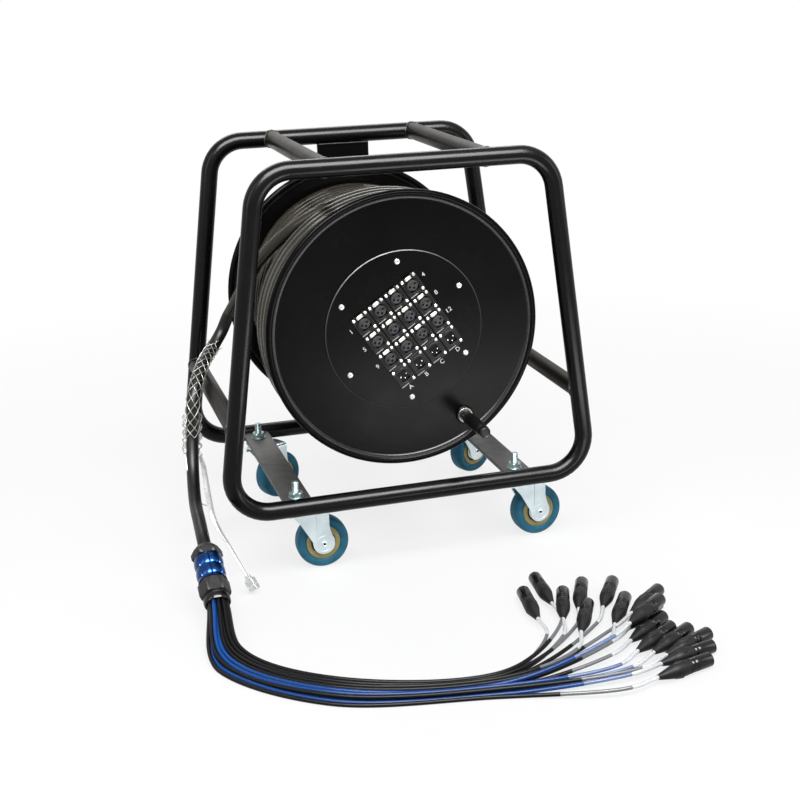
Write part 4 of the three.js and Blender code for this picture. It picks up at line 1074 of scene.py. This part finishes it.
RIVET_HEAD = [(2.0, 1.0), (2.5, 1.3), (3.4, 1.1), (4.0, 0.6), (4.3, -1), (0, -1)]
FORK_BOSS = [(10.6, -0.6), (10.9, 0.15), (11.5, 0.3), (12.1, 0.15), (12.4, -0.6)]
CROWN_BEND = 5
CROWN_SKIRT = 9
RIB_AT = 0.72
FORK_REAR = -0.41
FORK_FRONT = 1.24
FORK_BACK_EDGE = [(-0.36, 0.92), (0.05, 0.6)]
FORK_FRONT_EDGE = [(1.36, 0.22), (1.29, 0.36), (1.25, 0.5), (FORK_FRONT, 0.92)]

# Half of each ring of the wheel: (radius, distance from its middle)
TYRE = [
    (24.6, 10.2), (25.4, 10.9), (27.5, 11.6), (30.5, 12.3), (33.2, 12.2), (35.2, 11.2), (36.6, 9.2),
    (37.3, 6.2), (37.45, 3), (37.5, 0.5), (37.5, 0),
]
TAN_RING = [(17.2, 9.2), (17.6, 10.2), (20.5, 10.6), (24.0, 10.6), (24.6, 9.8)]
# A black ring between hub and tan ring, in rubber: painted shade of the gap round the hub
GAP_SHADE_RING = [(15.4, 8.6), (15.7, 10.0), (16.9, 10.2), (17.2, 9.2)]
WHEEL_HUB = [(4.2, 14.1), (9, 14.1), (10.2, 13.2), (12.6, 12.2), (14.8, 11.6), (15.4, 10.8), (15.4, 8.4)]


def thread(radius, from_z, to_z, around=24):
    """A threaded rod about Z whose end is chamfered."""
    rows = round((to_z - from_z) / (THREAD_PITCH / 5))
    points = []
    for z in np.linspace(from_z, to_z, rows + 1):
        for k in range(around):
            phase = (z / THREAD_PITCH - k / around) % 1.0
            cut = THREAD_DEPTH * (1 - abs(2 * phase - 1))
            points.append((*polar(min(radius - cut, radius - THREAD_END + to_z - z), TURN * k / around), z))
    return Shape(points, ends(around, rows + 1) + walls(around, rows + 1))


def caster_stem():
    race_top = CASTER_HEIGHT - RACE_GAP
    rod = thread(STEM_RADIUS, race_top - 0.5, STEM_END_Z)
    return joined([upright(turned(raised(RACE, race_top), 48)), upright(turned(KINGPIN, 24)), rod])


def caster_nut():
    foot = CASTER_HEIGHT + BAR_THICKNESS
    nut = hexagonal(NUT_ACROSS, foot + NUT_FOOT, foot + NUT_TOP, NUT_BORE, 1.1)
    return joined([upright(turned(raised(WASHER, foot), 40)), upright(nut)])


def fork_outline():
    """The fork's side: edges as shares of the trail and of the crown's rise, and a round end at the axle."""
    rise = CROWN_Z - WHEEL_RADIUS
    back, front = (
        [(along * TRAIL, WHEEL_RADIUS + up * rise) for along, up in edge]
        for edge in (FORK_BACK_EDGE, FORK_FRONT_EDGE)
    )
    around = [polar(FORK_END_RADIUS, math.radians(a)) for a in np.linspace(170, 360, 23)]
    end = [(TRAIL + x, WHEEL_RADIUS + z) for x, z in around]
    return [*back, *end, (TRAIL + 15.2, WHEEL_RADIUS + 5), *front]


def fork_crown():
    """The bent sheet over the wheel, with round corners, between the fork's two sides."""
    half = [(-FORK_OUTER_Y, CROWN_Z - CROWN_SKIRT)]
    for angle in range(0, 91, 15):
        y, z = polar(CROWN_BEND, math.radians(angle))
        half.append((-FORK_OUTER_Y + CROWN_BEND - y, CROWN_Z - CROWN_BEND + z))
    outer = half + [(-y, z) for y, z in half[::-1]]
    narrower = (FORK_OUTER_Y - FORK_THICKNESS) / FORK_OUTER_Y
    inner = [
        (y * narrower, z - FORK_THICKNESS if z > CROWN_Z - CROWN_BEND else z) for y, z in outer[::-1]
    ]
    ring = outer + inner
    points = [(share * TRAIL, y, z) for share in (FORK_REAR, FORK_FRONT) for y, z in ring]
    return Shape(points, ends(len(ring), 2) + walls(len(ring), 2))


def fork_side(side):
    """Rivet, pressed boss and rib on one side of the fork; the rivet's dimple takes the black hole finish, a
    painted shade.
    """
    rivet = layered(*(
        turned(raised(profile, FORK_OUTER_Y, side), 28) for profile in (RIVET_HEAD, RIVET_DIMPLE)
    ))
    boss = turned(raised(FORK_BOSS, FORK_OUTER_Y, side), 40)
    low_y, high_y = side * (FORK_OUTER_Y - 0.3), side * (FORK_OUTER_Y - 0.1)
    rib_x = TRAIL * RIB_AT
    rib = [(rib_x, low_y, WHEEL_RADIUS + 13), (rib_x, high_y, CROWN_Z - 10), (rib_x, low_y, CROWN_Z - 5)]
    return [*(shape.shifted(TRAIL, 0, WHEEL_RADIUS) for shape in (rivet, boss)), swept(rib, 0.8, 8)]


def caster_fork():
    outline = fork_outline()
    sides = [
        slab(outline, y, y + FORK_THICKNESS - 0.2, 0.5) for y in (0.1 - FORK_OUTER_Y, FORK_INNER_Y + 0.1)
    ]
    cup = upright(turned(raised(FORK_CUP, CROWN_Z), 48))
    axle = turned(block(AXLE_RADIUS, -FORK_OUTER_Y, FORK_OUTER_Y), 20).shifted(TRAIL, 0, WHEEL_RADIUS)
    return joined([*sides, fork_crown(), cup, *fork_side(-1), *fork_side(1), axle])


def caster_wheel():
    """Blue tyre on a tan ring and a zinc hub, with a black rubber ring between the hub and the tan ring:
    painted shade in the gap there.
    """
    rings = []
    for half in (TYRE, TAN_RING, GAP_SHADE_RING, WHEEL_HUB):
        mirrored = [(r, -y) for r, y in half[::-1] if y > 0]
        rings.append(turned([*half, *mirrored], 72).shifted(TRAIL, 0, WHEEL_RADIUS))
    return layered(*rings)


def add_caster(name, x, y, degrees):
    stand = Matrix.Translation((x, y, 0))
    swivel = stand @ Matrix.Rotation(math.radians(degrees), 4, "Z")
    piece(f"stem_{name}", caster_stem().moved(stand), "frame", "stud", f"caster_stem_{name}")
    piece(f"nut_{name}", caster_nut().moved(stand), "frame", "stud", f"caster_nut_{name}", sharp=25)
    fork, wheel = caster_fork().moved(swivel), caster_wheel().moved(swivel)
    # hole: the rivet dimples are painted near-black, a painted shade
    node, finishes = f"caster_fork_{name}", ["zinc", "hole"]
    piece(f"fork_{name}_steel", fork, f"fork_{name}", finishes, node, sharp=30)
    node, finishes = f"caster_wheel_{name}", ["tyre", "tan", "rubber", "zinc"]
    piece(f"wheel_{name}_tyre", wheel, f"wheel_{name}", finishes, node, sharp=50)


for caster, pose in CASTERS.items():
    add_caster(caster, *pose)


# Drum: profiles are (radius, y)
BARREL_RADIUS = 115
SHEET_GAP = 1.3
FRONT_OPENING = 88
REAR_OPENING = 13.1
FLANGE_FACE = [(180.2, 1), (183.4, 1.2)]
RIM_OPENS = 168
FLANGE_EDGE = [(179.6, 0.8), (180.0, 1.4), (181.2, 2.6), (181.8, 2.9), (184.8, 3.0), (184.8, 0.8)]
CORE_EDGE = 130
CORE_CREST = 135.7
SHAFT = [
    (0, -68.3), (11.5, -68.3), (12.5, -67.3), (12.5, 149.3), (21.4, 149.3), (22, 149.9), (22, 163.4),
    (21.4, 164.2), (12.5, 164.2), (12.5, 177.6), (11.4, 178.8), (4, 178.8), (3, 177.4), (0, 177),
]
COLLAR = [(12.9, -65.3), (21.2, -65.3), (22, -64.5), (22, -56.1), (21.2, -55.3), (12.9, -55.3)]
HUB_BORE = 12.9


def flange_shape(bead_y, opening):
    """A sheet disc with a rolled rim, and a ridge on each side where the sheet turns into the rim. The ridges
    take the lighter rim finish, partly rubbed paint and partly a painted highlight line.
    """
    face = [(opening, 1), *FLANGE_FACE]
    rim = []
    for angle in np.radians(np.linspace(RIM_OPENS, -RIM_OPENS, 27)):
        out, along = polar(BEAD_RADIUS, angle)
        rim.append((FLANGE_RADIUS - BEAD_RADIUS + out, along))
    disc = raised([*face, *rim, *((r, -y) for r, y in face[::-1])], bead_y)
    ridges = [turned(raised(FLANGE_EDGE, side * bead_y, side), 144) for side in (-1, 1)]
    return about_axle(layered(turned(disc, 144), ridges))


def add_core(front, rear):
    """Lower turns of the winding, which show between the loops of the outer layer."""
    profile = [(BARREL_RADIUS + 0.5, front), (CORE_EDGE, front)]
    turns = int((rear - front) / PITCH)
    start = front + ((rear - front) - turns * PITCH) / 2
    for i in range(turns):
        middle = start + (i + 0.5) * PITCH
        for angle in np.radians(np.arange(0, 181, 20)):
            profile.append((CORE_CREST + 9 * math.sin(angle), middle - 9.3 * math.cos(angle)))
    profile += [(CORE_EDGE, rear), (BARREL_RADIUS + 0.5, rear)]
    core = about_axle(turned(profile, 96))
    piece("lower_turns", core, "drum", "wound", "wound_core", sharp=60)


def add_drum():
    flanges = (("front_flange", FRONT_Y, FRONT_OPENING), ("rear_flange", REAR_Y, REAR_OPENING))
    for name, y, opening in flanges:
        flange = flange_shape(y, opening)
        piece(f"{name}_sheet", flange, "drum", ["sheet", "rim"], name, sharp=50)
    front, rear = FRONT_Y + SHEET_GAP, REAR_Y - SHEET_GAP
    barrel = about_axle(turned(block(BARREL_RADIUS, front, rear, BARREL_RADIUS - 2), 96))
    piece("drum_barrel_sheet", barrel, "drum", "sheet", "drum_barrel", sharp=50)
    hub = [
        (HUB_BORE, -55), (112.4, -55), (112.4, -52), (24, -52), (20, -49), (20, rear - 2), (19, rear),
        (HUB_BORE, rear),
    ]
    piece("drum_hub_steel", about_axle(turned(hub)), "drum", "steel", "drum_hub")
    add_core(front, rear)
    for name, profile in (("axle_shaft", SHAFT), ("axle_collar", COLLAR)):
        piece(f"{name}_steel", about_axle(turned(profile, 48)), "frame", "steel", name)
    nut = about_axle(hexagonal(36, 170.8, 178.5, HUB_BORE, 1.8))
    piece("axle_nut_steel", nut, "frame", "zinc", "axle_nut", sharp=25)


add_drum()

# Stage panel and sockets, drawn level and turned by the drum's tilt. A socket is drawn with its front at
# y = 0, its profiles are (radius, y), and its marks pick from the sockets' finishes
SOCKET_FINISHES = ["socket", "insert", "hole", "nickel", "dull_nickel", "print", "line"]
SHELL, BRIGHT, DULL_AND_RECESS_SHADE, LINE = (
    SOCKET_FINISHES.index(key) for key in ("socket", "nickel", "dull_nickel", "line")
)
SOCKET_WIDTH = 26
SOCKET_HEIGHT = 31
PLATE_BACK = 2.2
SCREWS = [(-9.9, 12.0, BRIGHT), (9.5, -12.0, BRIGHT), (9.7, 12.0, DULL_AND_RECESS_SHADE)]
SCREW_RADIUS = 2.45
FEMALE_INSERT = [(0, 0.45), (6.6, 0.45), (7.4, 0.7), (7.7, 1.2), (7.7, 4.8), (0, 4.8)]
# The contact holes are thin near-black discs on the insert: painted shade
HOLE_SHADE_DISC = [(0, 0.33), (1.7, 0.33), (1.85, 0.5), (0, 0.5)]
CONTACT_PLACES = [(4.2, 0.4), (-4.2, 0.4), (0, -3.9)]
WELL_DEPTH = 12
MALE_WELL = [(9.6, 0), (9.6, WELL_DEPTH), (0, WELL_DEPTH), (0, 13.4), (11.5, 13.4), (11.5, 0.6)]
MALE_PIN = [(0, 1.4), (0.7, 1.6), (1.2, 2.5), (1.2, 12.5), (0, 12.5)]
BODY_END = [(11.5, 29.6), (11, 30.2), (0, 30.2)]
PANEL_SCREWS = 6
PANEL_SCREW_CIRCLE = 97
PANEL_SCREWS_FROM = 35
LABEL_HEIGHT = 6.4
NUMBERS_BESIDE = 20.8
LETTERS_BELOW = 20.6
TAB_Z = 12.3
TAB_WIDTH = 10.4
TAB_HEIGHT = 4.9
TAB_PROUD = 1.5


def tilted(shape):
    return about_axle(shape.moved(Matrix.Rotation(-PANEL_TILT, 4, "Y")))


def screw(x, z, seat_y, radius):
    """A pan head about Y, facing -Y. Its cross recess is a thin cross plate in the darker screw finish, a
    painted shade of the recess.
    """
    profile = [(0, -0.42), (0.55, -0.4), (0.85, -0.26)]
    head = [(radius * r, seat_y + radius * y) for r, y in profile]
    head += [(radius, seat_y - 0.1), (radius, seat_y + 0.2), (0, seat_y + 0.2)]
    top = seat_y - radius * 0.44
    arm = slab(rounded(radius * 1.05, radius * 0.26, 0.02, 0, 0, 1), top, top + 0.12, 0.02)
    cross = [arm.moved(Matrix.Rotation(turn, 4, "Y")) for turn in (0.5, 0.5 + math.pi / 2)]
    return layered(turned(head, 20), cross).shifted(x, 0, z)


def socket_places(row):
    z = GRID_Z + (1.5 - row) * ROW_PITCH
    return [(GRID_X + (column - 1.5) * COLUMN_PITCH, z) for column in range(4)]


def ring_shape(inner, outer, front, back, edge):
    """A ring about the Y axis, with chamfered front edges."""
    profile = [
        (inner, front + edge), (inner + edge, front), (outer - edge, front), (outer, front + edge),
        (outer, back), (inner, back),
    ]
    return turned(profile, 40)


def plate_with_hole(hole):
    """The socket's face plate: a rounded rectangle with a round mouth."""
    outer = rounded(SOCKET_WIDTH, SOCKET_HEIGHT, 2.0, steps=6)
    inner = [polar(hole, math.atan2(z, x)) for x, z in outer]
    rings = [
        (inner, 0.1), (inset(outer, 0.35), 0), (outer, 0.35), (outer, PLATE_BACK), (inner, PLATE_BACK),
    ]
    points = [(x, y, z) for ring, y in rings for x, z in ring]
    return Shape(points, walls(len(outer), len(rings), closed=True))


def socket_body(front_y):
    return turned([(0, front_y), (11, front_y), (11.5, front_y + 0.6), *BODY_END], 32)


def trimmed(whole):
    """The socket with its screws and its grey line."""
    for x, z, mark in SCREWS:
        head = screw(x, z, 0, SCREW_RADIUS)
        # The cross takes the darker finish, a painted shade of the recess; a screw marked dull is dull all
        # over
        head.marks = [DULL_AND_RECESS_SHADE if cross else mark for cross in head.marks]
        whole.add(head)
    line = rounded(12.0, 1.1, 0.4, -6.0, -13.3, 2)
    return whole.add(slab(line, -0.08, 0.1, 0.03), LINE)


def female_socket():
    """Face plate, mouth ring, insert with three contact holes and a key, and a dark frame round the tab. The
    mouth ring, the disc behind it, the key's groove, the holes and the tab's frame are thin shapes in the
    near-black hole finish: painted shade in the gap, the groove, the holes and round the tab.
    """
    insert = turned(FEMALE_INSERT, 40)
    key = [polar(3.1, math.radians(a)) for a in range(200, 341, 10)]
    groove = swept([(x, 0.42, 5.4 + z) for x, z in key], 0.28, 6)
    contact = turned(HOLE_SHADE_DISC, 16)
    tab_gap_shade = slab(rounded(13.2, 7.4, 2.0, 0, 12.2), -0.25, 0.3, 0.2)
    mouth = [ring_shape(9.9, 10.5, -0.1, 28.2, 0.1), turned(block(10.0, 4.2, 5.4), 32)]
    holes = [contact.shifted(x, 0, z) for x, z in CONTACT_PLACES]
    shell = [plate_with_hole(10.3), ring_shape(10.5, 11.5, -0.5, 0.6, 0.35), socket_body(5.4)]
    return trimmed(layered(shell, insert, [*mouth, groove, *holes, tab_gap_shade]))


def male_socket():
    """Face plate with a deep round mouth, a key in it and three pins. The mouth's well takes the near-black
    hole finish, darker than the shell: painted shade in the recess.
    """
    well = turned(MALE_WELL, 40)
    pin = turned(MALE_PIN, 14)
    bow = [polar(1.6, a) for a in np.linspace(math.pi, TURN, 9)]
    key = swept([(x, WELL_DEPTH - 2.4, 8.2 + z) for x, z in bow], 0.5, 6)
    shell = [plate_with_hole(9.6), ring_shape(9.4, 11.4, -0.5, 0.6, 0.35), key, socket_body(13.8)]
    return trimmed(layered(shell, [], well, [pin.shifted(x, 0, z) for x, z in PIN_PLACES]))


def label(text, x, z):
    """Printed characters on the panel, as a shape."""
    curve = bpy.data.curves.new("label", "FONT")
    curve.body = text
    curve.size = LABEL_HEIGHT * 1.38
    curve.align_x = "CENTER"
    curve.align_y = "CENTER"
    curve.extrude = 0.05
    curve.offset = 0.06
    curve.space_character = 1.15
    holder = linked(bpy.data.objects.new("label", curve))
    bpy.context.view_layer.update()
    mesh = bpy.data.meshes.new_from_object(holder.evaluated_get(bpy.context.evaluated_depsgraph_get()))
    points = [(x + v.co.x, PANEL_FRONT_Y - 0.05 - v.co.z, z + v.co.y) for v in mesh.vertices]
    shape = Shape(points, [tuple(p.vertices) for p in mesh.polygons])
    bpy.data.objects.remove(holder)
    bpy.data.curves.remove(curve)
    bpy.data.meshes.remove(mesh)
    return shape


def add_disc():
    inner = PANEL_RADIUS - 1.1
    disc = turned(block(inner, PANEL_FRONT_Y, PANEL_BACK_Y), 144)
    # The edge ring takes a lighter finish than the disc: partly a bare cut edge, partly a painted highlight
    # line
    edge = block(PANEL_RADIUS, PANEL_FRONT_Y, PANEL_BACK_Y, inner)
    edge[1] = (PANEL_RADIUS, PANEL_FRONT_Y + 0.8)
    whole = about_axle(layered(disc, turned(edge, 144)))
    piece("stage_panel_disc", whole, "drum", ["sheet", "edge"], "stage_panel", sharp=30)
    screws = Shape()
    for k in range(PANEL_SCREWS):
        x, z = polar(PANEL_SCREW_CIRCLE, math.radians(PANEL_SCREWS_FROM + 360 / PANEL_SCREWS * k))
        screws.add(screw(x, z, PANEL_FRONT_Y, 4.2))
    piece("panel_screws", about_axle(screws), "drum", ["nickel", "dull_nickel"], (), sharp=30)


def add_socket_row(row, node, build):
    places = socket_places(row)
    whole = joined([build().shifted(x, SOCKET_FRONT_Y, z) for x, z in places])
    backing = rounded(4 * COLUMN_PITCH, 14, 1, GRID_X, places[0][1])
    whole.add(slab(backing, -111.8, -109.4, 0.3), SHELL)
    piece(f"{node}_fittings", tilted(whole), "drum", SOCKET_FINISHES, node, sharp=35)


def add_labels():
    prints = Shape()
    for row in range(3):
        places = socket_places(row)
        prints.add(label(str(4 * row + 1), places[0][0] - NUMBERS_BESIDE, places[0][1] + 1.6))
        prints.add(label(str(4 * row + 4), places[3][0] + NUMBERS_BESIDE, places[3][1] + 2.0))
    for letter, (x, z) in zip("ABCD", socket_places(3)):
        prints.add(label(letter, x - 0.8, z - LETTERS_BELOW))
    piece("panel_numbers", tilted(prints), "drum", "print", (), sharp=60)


def add_tab(number, x, z):
    """The release tab: a rounded key with a pressed oval."""
    key = slab(rounded(TAB_WIDTH, TAB_HEIGHT, 1.9, x, z, 6), -TAB_PROUD, 0.6, 0.35)
    line = []
    for end_x, from_degrees, to_degrees in ((x + 2.4, -90, 90), (x - 2.4, 90, 270)):
        bow = [polar(0.95, a) for a in np.radians(np.linspace(from_degrees, to_degrees, 9))]
        line += [(end_x + a, -TAB_PROUD - 0.02, z + b) for a, b in bow]
    whole = tilted(layered(key, swept(line, 0.2, 6, True)).shifted(0, SOCKET_FRONT_Y))
    node = f"push_tab_{number}"
    piece(f"tab_{number}", whole, node, ["tab", "dull_nickel"], node, sharp=30)


add_disc()
for row_number in range(3):
    add_socket_row(row_number, f"send_sockets_{row_number + 1}", female_socket)
add_socket_row(3, "return_sockets", male_socket)
add_labels()
for row_number in range(3):
    for column_number, (tab_x, row_z) in enumerate(socket_places(row_number)):
        add_tab(row_number * 4 + column_number + 1, tab_x, row_z + TAB_Z)

# Crank: profiles are (radius, distance) from the bracket's foot, the grip's root or the grip's tip
CRANK_FOOT_Y = FRONT_Y - SHEET_GAP
BRACKET_FLANGE = [(0, 0), (13, 0), (13, -2.2), (12.2, -3), (0, -3)]
BRACKET_WASHER = [(0, -3), (10.6, -3), (10.8, -3.8), (10.2, -4.5), (0, -4.5)]
BRACKET_COLLAR = [(0, -11.8), (6.4, -11.8), (6.2, -13.9), (0, -13.9)]
CRANK_NUT = (15.6, -11.8, -4.5)
CRANK_PIN_END_Y = -219
CRANK_PIN_RADIUS = 4
GRIP_ROOT_Y = CRANK_FOOT_Y - 14.3
GRIP_TIP_Y = -222.3
GRIP_WAIST = 7.8
GRIP_COLLAR = [(0, 0), (4.3, 0), (7.2, 0), (8.0, -0.8), (8.2, -3.4), (7.6, -4.2), (7.6, -5.0)]
GRIP_END = [
    (7.3, 10.6), (7.0, 9.6), (7.8, 8.8), (8.1, 6.2), (7.9, 3.0), (7.2, 1.0), (6.2, 0.2), (5.4, 1.0), (0, 1.2),
]


def add_crank():
    foot, at = CRANK_FOOT_Y, Matrix.Translation((CRANK_X, 0, CRANK_Z))
    flange, washer, collar = (
        turned(raised(profile, foot), segments)
        for profile, segments in ((BRACKET_FLANGE, 40), (BRACKET_WASHER, 36), (BRACKET_COLLAR, 28))
    )
    across, outer, inner = CRANK_NUT
    nut = hexagonal(across, foot + outer, foot + inner, 0, 1.3)
    pin = turned(block(CRANK_PIN_RADIUS, foot - 13, CRANK_PIN_END_Y), 20)
    bracket = layered([washer, nut, collar, pin], flange)
    finishes = ["crank_steel", "sheet"]
    piece("crank_bracket_steel", bracket.moved(at), "drum", finishes, "crank_bracket", sharp=28)
    from_y, to_y = GRIP_ROOT_Y - 6, GRIP_TIP_Y + 12
    waist = [
        (GRIP_WAIST + math.sin(math.pi * (0.12 + 0.76 * share)) ** 0.7, from_y + (to_y - from_y) * share)
        for share in np.linspace(0, 1, 9)
    ]
    grip = turned([*raised(GRIP_COLLAR, GRIP_ROOT_Y), *waist, *raised(GRIP_END, GRIP_TIP_Y)], 40)
    piece("crank_grip_form", grip.moved(at), "crank_grip", "rubber", "crank_grip", sharp=40)


add_crank()

# Room: a pale floor, soft lamps and a white background
FLOOR_HALF = 30
PAPER_SHADES = (0.86, 0.9)
WHITE_SHARES = (0.78, 1.0)
WHITE_FROM_TO = (0.7, 1.6)
SKY = (0.9, 0.93, 1.0, 1)
SKY_STRENGTH = 0.22
LAMPS = [
    # name, place, target, size, watts, and whether only reflections show it
    ("key", (-0.1, -1.3, 2.0), (0, 0, 0.3), (2.4, 1.2), 46, False),
    ("softbox_reflection", (-0.1, -1.29, 1.98), (0, 0, 0.3), (2.3, 1.15), 280, True),
    ("floor_reflection", (0.36, -0.78, 0.02), (0.36, -0.78, 1.0), (0.6, 0.4), 8.5, True),
    ("fill", (2.0, -1.0, 0.9), (0, 0, 0.3), (0.5, 1.2), 9, False),
    ("side", (-2.0, -0.6, 1.2), (0, 0, 0.3), (0.6, 1.4), 12, False),
    ("back", (0.2, 1.9, 1.8), (0, 0, 0.4), (2.0, 0.6), 22, False),
]


def background_rays(tree):
    """1 for the rays that show the white background: camera, glossy and transmission rays."""
    rays = add_node(tree, "ShaderNodeLightPath").outputs
    seen = math_node(tree, "MAXIMUM", rays["Is Camera Ray"], rays["Is Glossy Ray"])
    return math_node(tree, "MAXIMUM", seen, rays["Is Transmission Ray"])


def floor_material():
    """Pale paper near the object, which keeps its shadow, and the background's white further away."""
    material, tree, shader = new_material("floor_paper")
    shade = ranged(tree, noise(tree, coordinates(tree), 3.0), *PAPER_SHADES)
    paper = add_node(tree, "ShaderNodeCombineColor", {"Red": shade, "Green": shade, "Blue": shade})
    tree.links.new(paper.outputs[0], shader.inputs["Base Color"])
    shader.inputs["Roughness"].default_value = 0.9
    shader.inputs["Specular IOR Level"].default_value = 0.0
    white = add_node(tree, "ShaderNodeEmission", {"Color": (1, 1, 1, 1), "Strength": 1.0})
    here = add_node(tree, "ShaderNodeTexCoord").outputs["Object"]
    away = add_node(tree, "ShaderNodeVectorMath", {0: here}, operation="LENGTH").outputs["Value"]
    share = ranged(tree, away, *WHITE_SHARES, *WHITE_FROM_TO)
    part = math_node(tree, "MULTIPLY", background_rays(tree), share)
    blend = add_node(tree, "ShaderNodeMixShader", {0: part, 1: shader.outputs[0], 2: white.outputs[0]})
    tree.links.new(blend.outputs[0], tree.nodes["Material Output"].inputs["Surface"])
    return material


def add_floor():
    mesh = bpy.data.meshes.new("floor")
    corners = [(x * FLOOR_HALF, y * FLOOR_HALF, 0) for x, y in ((-1, -1), (1, -1), (1, 1), (-1, 1))]
    mesh.from_pydata(corners, [], [(0, 1, 2, 3)])
    mesh.materials.append(floor_material())
    linked(bpy.data.objects.new("floor", mesh))


def add_world():
    world = bpy.data.worlds.new("studio")
    bpy.context.scene.world = world
    world.use_nodes = True
    tree = world.node_tree
    plain = tree.nodes["Background"]
    plain.inputs["Color"].default_value = SKY
    plain.inputs["Strength"].default_value = SKY_STRENGTH
    white = add_node(tree, "ShaderNodeBackground", {"Color": (1, 1, 1, 1), "Strength": 1.0})
    seen = background_rays(tree)
    mix = add_node(tree, "ShaderNodeMixShader", {0: seen, 1: plain.outputs[0], 2: white.outputs[0]})
    tree.links.new(mix.outputs[0], tree.nodes["World Output"].inputs["Surface"])


def add_lamp(name, at, target, size, watts, reflected_only):
    light = bpy.data.lights.new(name, "AREA")
    light.shape = "RECTANGLE"
    light.size, light.size_y = size
    light.energy = watts
    lamp = linked(bpy.data.objects.new(name, light))
    lamp.location = at
    lamp.rotation_euler = (Vector(target) - Vector(at)).to_track_quat("-Z", "Y").to_euler()
    lamp.visible_diffuse = not reflected_only


add_floor()
add_world()
for lamp_row in LAMPS:
    add_lamp(*lamp_row)
bpy.context.scene.view_settings.view_transform = "Standard"
